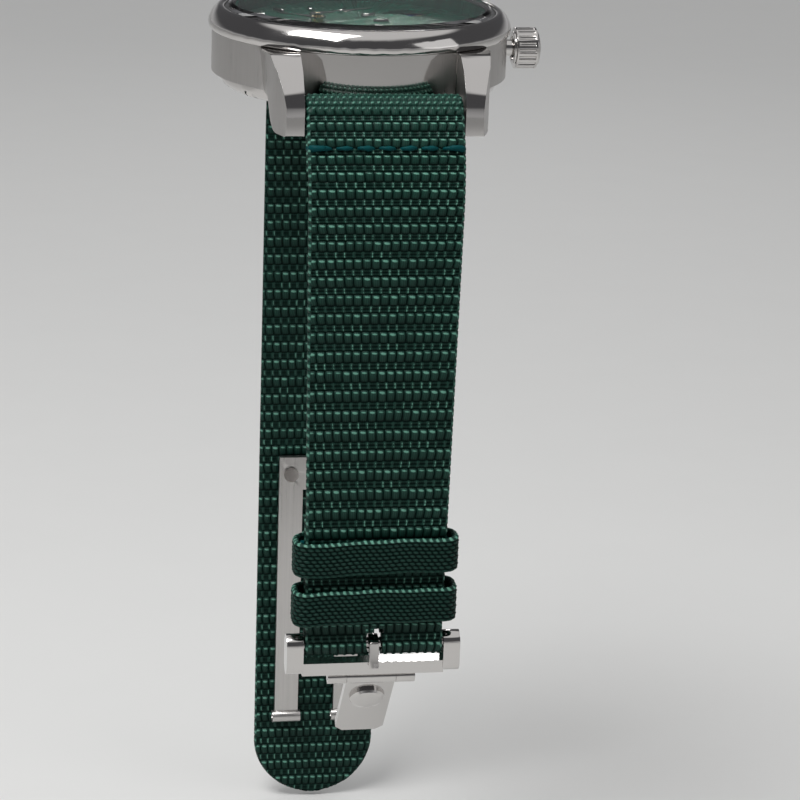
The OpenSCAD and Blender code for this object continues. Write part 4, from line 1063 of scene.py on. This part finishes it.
def keeper_line(half_x, half_y, radius, step):
    """Points, outward normals and lengths round a rounded rectangle."""
    corners = []
    for k, (sx, sy) in enumerate(((1, 1), (-1, 1), (-1, -1), (1, -1))):
        centre = (sx * (half_x - radius), sy * (half_y - radius))
        corners.append(arc(centre, radius, k * math.pi / 2, (k + 1) * math.pi / 2, 12))
    rough = np.concatenate([*corners, corners[0][:1]])
    run = np.concatenate([[0], np.cumsum(np.linalg.norm(np.diff(rough, axis=0), axis=1))])
    even = np.arange(0, run[-1], step)
    points = np.stack([np.interp(even, run, column) for column in rough.T], 1)
    for _ in range(3):
        points = (np.roll(points, 1, 0) + points + np.roll(points, -1, 0)) / 3
    slope = np.roll(points, -1, 0) - np.roll(points, 1, 0)
    normals = np.stack([slope[:, 1], -slope[:, 0]], 1) / np.linalg.norm(slope, axis=1)[:, None]
    return points, normals, even


def keeper_band(node, body, k, seed):
    """A woven band round the strap, as a closed mesh with its knots and rounded edges."""
    low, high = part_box(node)
    centre = (low + high) / 2
    step = k.knot_width / KNOT_STEPS
    half_x = (high.x - low.x - k.thickness) / 2
    half_y = (high.y - low.y - k.thickness) / 2
    points, normals, run = keeper_line(half_x, half_y, k.corner_radius, step)
    points, normals = [np.concatenate([part, part[:1]]) for part in (points, normals)]
    run = np.append(run, run[-1] + step)
    knots = round(run[-1] / k.knot_width)
    tall = high.z - low.z
    rows = round(tall / k.knot_height)
    lift = np.array([(row + part) / rows for row in range(rows) for part in KNOT_ROWS] + [1.0])
    across = run / run[-1] * knots
    heights = twill_weave(lift * rows, across, 0.5, 0.4)
    long_wave, short_wave = np.random.default_rng(seed).uniform(0, math.tau, 3)[:2]
    sag = 0.1 * MM * np.sin(run / run[-1] * math.tau * 2 + long_wave)
    sag = sag + 0.05 * MM * np.sin(run * 900 + short_wave)
    rim = eased(np.minimum(lift, 1 - lift) * tall, RIM_RADIUS)
    rope = 0.45 + 0.55 * np.abs(np.sin(np.pi * (across[None, :] + 2.5 * lift[:, None])))
    on_rim = (rim < RIM_SHARE)[:, None]
    heights = np.where(on_rim, rope, heights)
    # Painted highlights: the rope of the upper rim and the tops of the knots get tones past the highlight
    # start; the lower rim doesn't.
    tones = np.where(on_rim & (lift > 0.5)[:, None], 0.4 + 1.1 * rope**2, 1.12 * heights)
    z = low.z + lift[:, None] * tall + math.tan(k.tilt) * points[None, :, 0] + sag[None, :]
    sides = []
    for sign, relief in ((1, heights), (-1, 0.5 * heights)):
        off = sign * (k.thickness / 2 - k.relief * (1 - relief)) * rim[:, None]
        x = centre.x + points[None, :, 0] + normals[None, :, 0] * off
        y = centre.y + points[None, :, 1] + normals[None, :, 1] * off
        sides.append(np.stack([x, y, z], 2))
    flat = np.stack(np.broadcast_arrays(lift[:, None] * tall, run[None, :]), 2)
    keep = np.ones((len(lift) - 1, len(run) - 1), bool)
    piece = slab(node + "_woven", sides[0], sides[1], [tones, 0.5 * heights], flat, keep, wrap=True)
    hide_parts(node)
    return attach(piece, body)


class WATCH_OT_keepers(Operator):
    """Weaves the fixed and the free keeper"""

    bl_idname = "watch.keepers"
    bl_label = "Keepers"

    def execute(self, context):
        k, s = context.scene.watch_keepers, context.scene.watch_strap
        fabric = woven("keeper_twill", s.yarn_colour, s.shaded_gap_colour, s.highlight_colour, 6.0, 0.15, 1.0)
        dress(keeper_band("fixed_keeper", "short_half", k, 17), fabric)
        dress(keeper_band("free_keeper", "keeper", k, 23), fabric)
        return {"FINISHED"}


# Dial prints


def walls(work, rings):
    """Adds the faces between each ring of points and the next."""
    for first, second in zip(rings, rings[1:]):
        for k in range(len(first)):
            work.faces.new((first[k - 1], first[k], second[k], second[k - 1]))


def round_rings(work, centre, profile, sides):
    """Adds level rings of points round an upright axis, by radius and height."""
    rings = []
    for radius, z in profile:
        outline = round_outline(radius, sides)
        rings.append([work.verts.new((centre[0] + x, centre[1] + y, z)) for x, y in outline])
    return rings


def plate(work, outline, place, angle, low, high):
    """Adds an upright plate with a flat outline, turned and moved on the dial."""
    turn = Matrix.Rotation(angle, 3, "Z")
    rings = []
    for z in (low, high):
        corners = [turn @ Vector((x, y, 0)) + Vector((place[0], place[1], z)) for x, y in outline]
        rings.append([work.verts.new(corner) for corner in corners])
    walls(work, rings)
    work.faces.new(rings[0][::-1])
    work.faces.new(rings[1])


def round_outline(radius, sides=12):
    """Points on a circle."""
    turns = [math.tau * k / sides for k in range(sides)]
    return [(radius * math.cos(turn), radius * math.sin(turn)) for turn in turns]


def star_outline(radius):
    """Points of a four-pointed star."""
    points = []
    for k, far in enumerate((radius, 0.3 * radius) * 4):
        turn = k * math.pi / 4
        points.append((far * math.cos(turn), far * math.sin(turn)))
    return points


def from_work(name, work, body, made):
    """Turns a bmesh into a piece that rides on a body."""
    mesh = bpy.data.meshes.new(name)
    bmesh.ops.recalc_face_normals(work, faces=work.faces)
    work.to_mesh(mesh)
    work.free()
    piece = placed(name, mesh)
    dress(piece, made)
    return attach(piece, body)


def add_text(work, text, size, place, angle, z, height):
    """Adds plain numbers as thin raised shapes."""
    font = bpy.data.curves.new("numbers", "FONT")
    font.body = text
    font.size = size
    font.align_x = "CENTER"
    font.align_y = "CENTER"
    font.extrude = height / 2
    font.resolution_u = 3
    holder = placed("numbers", font)
    mesh = bpy.data.meshes.new_from_object(holder.evaluated_get(bpy.context.evaluated_depsgraph_get()))
    move = Matrix.Translation((place[0], place[1], z + height / 2))
    mesh.transform(move @ Matrix.Rotation(angle, 4, "Z"))
    work.from_mesh(mesh)
    bpy.data.objects.remove(holder)
    bpy.data.meshes.remove(mesh)
    bpy.data.curves.remove(font)


def on_circle(centre, radius, turn):
    """A point on a circle, with turn as a share of a full turn clockwise from the top."""
    angle = math.pi / 2 - math.tau * turn
    return centre[0] + radius * math.cos(angle), centre[1] + radius * math.sin(angle)


# Radii of the circles that dots and numbers stand on, and what keeps them apart.
HOUR_CIRCLE = 9.75 * MM
HOUR_CIRCLE_LIMIT = 15.8 * MM
SECONDS_CLEAR = 0.3 * MM
SECONDS_CIRCLE = 5.1 * MM
SECONDS_NUMBERS = (("60", 0.0), ("15", 0.25), ("30", 0.5), ("45", 0.75))
SECONDS_NUMBER_CIRCLE = 3.95 * MM
DATE_OFFSET = 1.08 * MM


class WATCH_OT_dial_prints(Operator):
    """Prints dots and plain numbers on the dial and the date discs"""

    bl_idname = "watch.dial_prints"
    bl_label = "Dial prints"

    def hour_dots(self, d, ink):
        """Minute dots round the hands, clear of the small seconds and the date window."""
        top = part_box("dial_plate")[1].z
        hours, seconds, window = middle("centre_wheel"), middle("seconds_ring"), middle("date_frame")
        half_window = reach("date_frame") / 2
        keep_off = reach("seconds_ring").x / 2 + SECONDS_CLEAR
        work = bmesh.new()
        for minute in range(60):
            x, y = on_circle(hours, HOUR_CIRCLE, minute / 60)
            clear_of_seconds = math.hypot(x - seconds.x, y - seconds.y) > keep_off
            clear_of_window = abs(x - window.x) > half_window.x or abs(y - window.y) > half_window.y
            if clear_of_seconds and clear_of_window and math.hypot(x, y) < HOUR_CIRCLE_LIMIT:
                size = d.dot_radius * (1.5 if minute % 5 == 0 else 1)
                plate(work, round_outline(size), (x, y), 0, top, top + d.print_height)
        from_work("hour_circle_dots", work, "case", ink)

    def small_seconds(self, d, ink):
        """Dots and numbers of the small seconds."""
        seconds = middle("seconds_ring")
        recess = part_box("seconds_ring")[0].z
        work = bmesh.new()
        for second in range(60):
            place = on_circle(seconds, SECONDS_CIRCLE, second / 60)
            size = d.dot_radius * (1.3 if second % 5 == 0 else 0.8)
            plate(work, round_outline(size), place, 0, recess, recess + d.print_height)
        for number, share in SECONDS_NUMBERS:
            place = on_circle(seconds, SECONDS_NUMBER_CIRCLE, share)
            add_text(work, number, d.number_size, place, 0, recess, d.print_height)
        from_work("small_seconds_print", work, "case", ink)

    def date_numbers(self, d, ink, disc, body, offset, numbers, steps):
        """Numbers round a date disc; the first one stands in its half of the window."""
        centre, window = middle(disc), middle("date_frame")
        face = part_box(disc)[1].z
        away = Vector((window.x + offset - centre.x, window.y - centre.y, 0))
        work = bmesh.new()
        for step, number in enumerate(numbers):
            turn = math.tau * step / steps
            spot = Matrix.Rotation(turn, 3, "Z") @ away
            place = (centre.x + spot.x, centre.y + spot.y)
            add_text(work, number, d.date_size, place, turn, face, d.print_height)
        from_work(disc + "_numbers", work, body, ink)

    def execute(self, context):
        d = context.scene.watch_dial
        ink = printed("dial_print", d.print_colour)
        dark = printed("date_ink", d.ink_colour)
        self.hour_dots(d, ink)
        self.small_seconds(d, ink)
        self.date_numbers(d, dark, "date_units_disc", "units_disc", DATE_OFFSET, "7890123456", 10)
        self.date_numbers(d, dark, "date_tens_disc", "tens_disc", -DATE_OFFSET, "1230", 5)
        return {"FINISHED"}


# Radius and rise of a domed moon, in millimetres.
MOON_PROFILE = ((1.62, 0.0), (1.6, 0.03), (1.45, 0.06), (1.0, 0.09), (0.5, 0.1))
MOON_DISTANCE = 2.9 * MM
MOON_PHASE = math.radians(62)
MOON_SIDES = 40
STAR_SEED = 41
STAR_COUNT = 22
STAR_HEIGHT = 0.03 * MM


class WATCH_OT_moon(Operator):
    """Sets two moons and a few stars on the moon disc"""

    bl_idname = "watch.moon"
    bl_label = "Moon disc"

    def execute(self, context):
        gold = wheel_metal("moon_gold", context.scene.watch_dial.moon_colour)
        centre = middle("moon_disc")
        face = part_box("moon_disc")[1].z
        profile = [(radius * MM, face + rise * MM) for radius, rise in MOON_PROFILE]
        work = bmesh.new()
        for side in (0, math.pi):
            x = centre.x + MOON_DISTANCE * math.cos(MOON_PHASE + side)
            y = centre.y + MOON_DISTANCE * math.sin(MOON_PHASE + side)
            rings = round_rings(work, (x, y), profile, MOON_SIDES)
            walls(work, rings)
            work.faces.new(rings[0][::-1])
            work.faces.new(rings[-1])
        rng = np.random.default_rng(STAR_SEED)
        for k in range(STAR_COUNT):
            angle = MOON_PHASE + math.pi / 2 + rng.uniform(-0.95, 0.95) + math.pi * (k % 2)
            radius = rng.uniform(1.2, 4.7) * MM
            place = (centre.x + radius * math.cos(angle), centre.y + radius * math.sin(angle))
            plate(work, star_outline(rng.uniform(0.14, 0.3) * MM), place, angle, face, face + STAR_HEIGHT)
        piece = from_work("moons_and_stars", work, "moon", gold)
        piece.data.shade_smooth()
        return {"FINISHED"}


# Radius and drop of a jewel with its oil cup and hole, in millimetres.
JEWEL_PROFILE = ((0.62, 0.0), (0.6, 0.05), (0.42, 0.07), (0.3, 0.03), (0.27, 0.0))
JEWEL_SIDES = 28
JEWELLED = ("third_wheel", "fourth_wheel", "escape_wheel", "balance_wheel", "centre_wheel")


class WATCH_OT_jewels(Operator):
    """Presses bearing jewels into the train bridge and the balance cock"""

    bl_idname = "watch.jewels"
    bl_label = "Bearing jewels"

    def execute(self, context):
        stone = ruby(context.scene.watch_metal.ruby)
        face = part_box("train_bridge")[0].z
        profile = [(radius * MM, face - drop * MM) for radius, drop in JEWEL_PROFILE]
        work = bmesh.new()
        for wheel in JEWELLED:
            rings = round_rings(work, middle(wheel), profile, JEWEL_SIDES)
            walls(work, [*rings, rings[0]])
        piece = from_work("bearing_jewels", work, "case", stone)
        piece.data.shade_smooth()
        return {"FINISHED"}


# Finishes of the construction nodes

# Rounding of sharp edges, in millimetres.
EDGES = {
    0.15: ("case_middle", "buckle_frame", "buckle_tongue"),
    0.1: ("bezel", "case_back", "base_frame", "crown"),
    0.05: ("hour_markers",),
}
SHARP_ANGLE = math.radians(38)


def soften(piece, width):
    """Rounds the sharp edges of a metal piece and keeps its faces flat."""
    weld = piece.modifiers.new("weld", "WELD")
    weld.merge_threshold = MERGE
    bevel = piece.modifiers.new("round_edges", "BEVEL")
    bevel.width = width
    bevel.segments = 2
    bevel.limit_method = "ANGLE"
    bevel.angle_limit = SHARP_ANGLE
    even = piece.modifiers.new("even_normals", "WEIGHTED_NORMAL")
    even.mode = "FACE_AREA"


POLISHED = (
    "bezel", "case_back", "crown", "crown_tube", "winding_stem", "sliding_pinion",
    "moon_corrector", "date_corrector", "hour_markers", "seconds_ring", "date_frame",
    "hour_hand", "minute_hand", "seconds_hand", "casing_clamps", "escape_wheel", "pallet_fork",
    "rotor_bearing", "spring_bar_short", "spring_bar_long", "buckle_frame", "buckle_bar",
    "buckle_tongue", "hinge_pin", "lever_plate", "lock_stud", "frame_rivets",
)
GILT = (
    "barrel", "centre_wheel", "third_wheel", "fourth_wheel", "hour_wheel", "minute_wheel",
    "balance_wheel",
)


class WATCH_OT_finishes(Operator):
    """Gives every metal, glass and rubber piece its finish"""

    bl_idname = "watch.finishes"
    bl_label = "Finishes"

    def execute(self, context):
        m, d = context.scene.watch_metal, context.scene.watch_dial
        mirror = polished("polished_steel", m.steel)
        crystal = clear_crystal()
        gasket = rubber(m.rubber)
        gilt = wheel_metal("gilt_wheels", m.gilt)
        blued = polished("blued_steel", m.blued, 0.16)
        satin = brushed("satin_blade", m.steel)
        plated = striped("striped_nickel", m.nickel)
        paper = printed("date_paper", d.paper_colour)
        finishes = {
            case_steel(m.steel): ("case_middle",),
            mirror: POLISHED,
            crystal: ("crystal", "back_crystal"),
            gasket: ("crystal_gasket", "back_gasket", "crown_gasket"),
            gilt: GILT,
            blued: ("casing_screws", "bridge_screws", "hairspring"),
            satin: ("base_frame",),
            plated: ("train_bridge", "balance_cock", "rotor"),
            grained("grained_nickel", m.nickel): ("main_plate", "movement_ring"),
            sunburst(d): ("dial_plate", "dial_flange"),
            paper: ("date_units_disc", "date_tens_disc"),
            printed("night_enamel", d.night_colour, 0.25): ("moon_disc",),
        }
        for made, nodes in finishes.items():
            for node in nodes:
                dress(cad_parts[node], made)
        for width, nodes in EDGES.items():
            for node in nodes:
                soften(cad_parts[node], width * MM)
        return {"FINISHED"}


# Stage

FLOOR_HALF = 12.0
FLOOR_DROP = 0.6 * MM
# Extra light of the floor as the camera, metal and glass see it.
FLOOR_GLOW = 0.12
# Greys of the world by height: at the horizon, above it and overhead.
HORIZON = (0.46, 0.46, 0.465)
DARK_BAND = (0.085, 0.085, 0.09)
OVERHEAD = (0.75, 0.75, 0.75)
LIT_POINT = (0, 0, -30 * MM)
BACK_SHARE = 0.35
CAMERA_TARGET = Vector((7.1, 0, -44)) * MM
SENSOR_WIDTH = 36
CLIP_START = 10 * MM
CLIP_END = 100


def lamp(name, place, size, power):
    """A soft rectangular lamp that points at the watch."""
    light = bpy.data.lights.new(name, "AREA")
    light.shape = "RECTANGLE"
    light.size, light.size_y = size
    light.energy = power
    made = placed(name, light)
    made.location = place
    made.rotation_mode = "QUATERNION"
    made.rotation_quaternion = (Vector(LIT_POINT) - Vector(place)).to_track_quat("-Z", "Y")


def world_light():
    """Even grey light: pale at the horizon, a darker band above it and pale overhead."""
    world = bpy.data.worlds.new("studio")
    world.use_nodes = True
    bpy.context.scene.world = world
    graph = Graph(world.node_tree)
    height = graph.parts(graph.add("TexCoord").outputs["Generated"])[2]
    low = graph.mix(graph.spread(height, 0.0, 0.2), HORIZON, DARK_BAND)
    tone = graph.mix(graph.spread(height, 0.7, 0.8), low, OVERHEAD)
    background = world.node_tree.nodes["Background"]
    graph.put(background.inputs["Color"], tone)
    background.inputs["Strength"].default_value = 1.0


def floor_piece(height, base):
    """A wide pale floor that looks even paler to the camera, in metal and through glass."""
    corners = [(x * FLOOR_HALF, y * FLOOR_HALF, height) for x, y in ((-1, -1), (1, -1), (1, 1), (-1, 1))]
    mesh = bpy.data.meshes.new("floor")
    mesh.from_pydata(corners, [], [(0, 1, 2, 3)])
    made = placed("floor", mesh)
    surface, graph = material("floor_paper", base, 0.0, 0.8, Emission_Color=(1.0, 1.0, 1.0))
    grain = graph.noise(graph.place(), 60.0, 4.0)
    graph.feed("Base Color", graph.mix(grain, tinted(base, 0.97), base))
    path = graph.add("LightPath").outputs
    straight = graph.maths("MAXIMUM", path["Is Camera Ray"], path["Is Transmission Ray"])
    seen = graph.maths("MAXIMUM", straight, path["Is Glossy Ray"])
    graph.feed("Emission Strength", graph.times(seen, FLOOR_GLOW))
    dress(made, surface)


def place_camera(g):
    """Sets the camera at the photograph's angle, turned about its own view."""
    back = Vector((
        math.sin(g.azimuth) * math.cos(g.elevation),
        -math.cos(g.azimuth) * math.cos(g.elevation),
        math.sin(g.elevation),
    ))
    level = Vector((math.cos(g.azimuth), math.sin(g.azimuth), 0))
    rise = back.cross(level)
    right = level * math.cos(g.roll) + rise * math.sin(g.roll)
    up = rise * math.cos(g.roll) - level * math.sin(g.roll)
    camera = placed("camera", bpy.data.cameras.new("camera"))
    turn = Matrix((right, up, back)).transposed().to_4x4()
    camera.matrix_world = Matrix.Translation(CAMERA_TARGET + g.distance * back) @ turn
    camera.data.lens = g.lens
    camera.data.sensor_width = SENSOR_WIDTH
    camera.data.clip_start = CLIP_START
    camera.data.clip_end = CLIP_END
    bpy.context.scene.camera = camera


class WATCH_OT_stage(Operator):
    """Lays the floor, sets the lamps and places the camera"""

    bl_idname = "watch.stage"
    bl_label = "Stage"

    def execute(self, context):
        g = context.scene.watch_stage
        floor_piece(cad_box[0].z - FLOOR_DROP, g.floor_colour)
        world_light()
        lamp("key", (-0.20, -0.16, 0.42), (0.30, 0.24), g.key_power)
        lamp("fill", (0.42, -0.30, 0.14), (0.30, 0.40), g.fill_power)
        lamp("back_strip", (0.09, 0.55, 0.19), (0.05, 0.05), BACK_SHARE * g.fill_power)
        context.scene.view_settings.view_transform = "Standard"
        place_camera(g)
        return {"FINISHED"}


STEPS = (
    WATCH_OT_stage,
    WATCH_OT_finishes,
    WATCH_OT_strap,
    WATCH_OT_keepers,
    WATCH_OT_dial_prints,
    WATCH_OT_moon,
    WATCH_OT_jewels,
)


class WATCH_PT_panel(Panel):
    """Lists the steps that dress the watch"""

    bl_label = "Moon Phase Watch"
    bl_idname = "WATCH_PT_panel"
    bl_space_type = "VIEW_3D"
    bl_region_type = "UI"
    bl_category = "Watch"

    def draw(self, context):
        for step in STEPS:
            self.layout.operator(step.bl_idname)
        for name, group in SETTINGS.items():
            box = self.layout.box()
            box.label(text=group.__doc__)
            for setting in group.__annotations__:
                box.prop(getattr(context.scene, name), setting)


def register():
    for group in SETTINGS.values():
        bpy.utils.register_class(group)
    for name, group in SETTINGS.items():
        setattr(bpy.types.Scene, name, PointerProperty(type=group))
    for step in (*STEPS, WATCH_PT_panel):
        bpy.utils.register_class(step)


def unregister():
    for step in (WATCH_PT_panel, *reversed(STEPS)):
        bpy.utils.unregister_class(step)
    for name, group in SETTINGS.items():
        delattr(bpy.types.Scene, name)
        bpy.utils.unregister_class(group)


def main():
    register()
    bpy.ops.watch.stage()
    bpy.ops.watch.finishes()
    bpy.ops.watch.strap()
    bpy.ops.watch.keepers()
    bpy.ops.watch.dial_prints()
    bpy.ops.watch.moon()
    bpy.ops.watch.jewels()


if __name__ == "__main__":
    main()
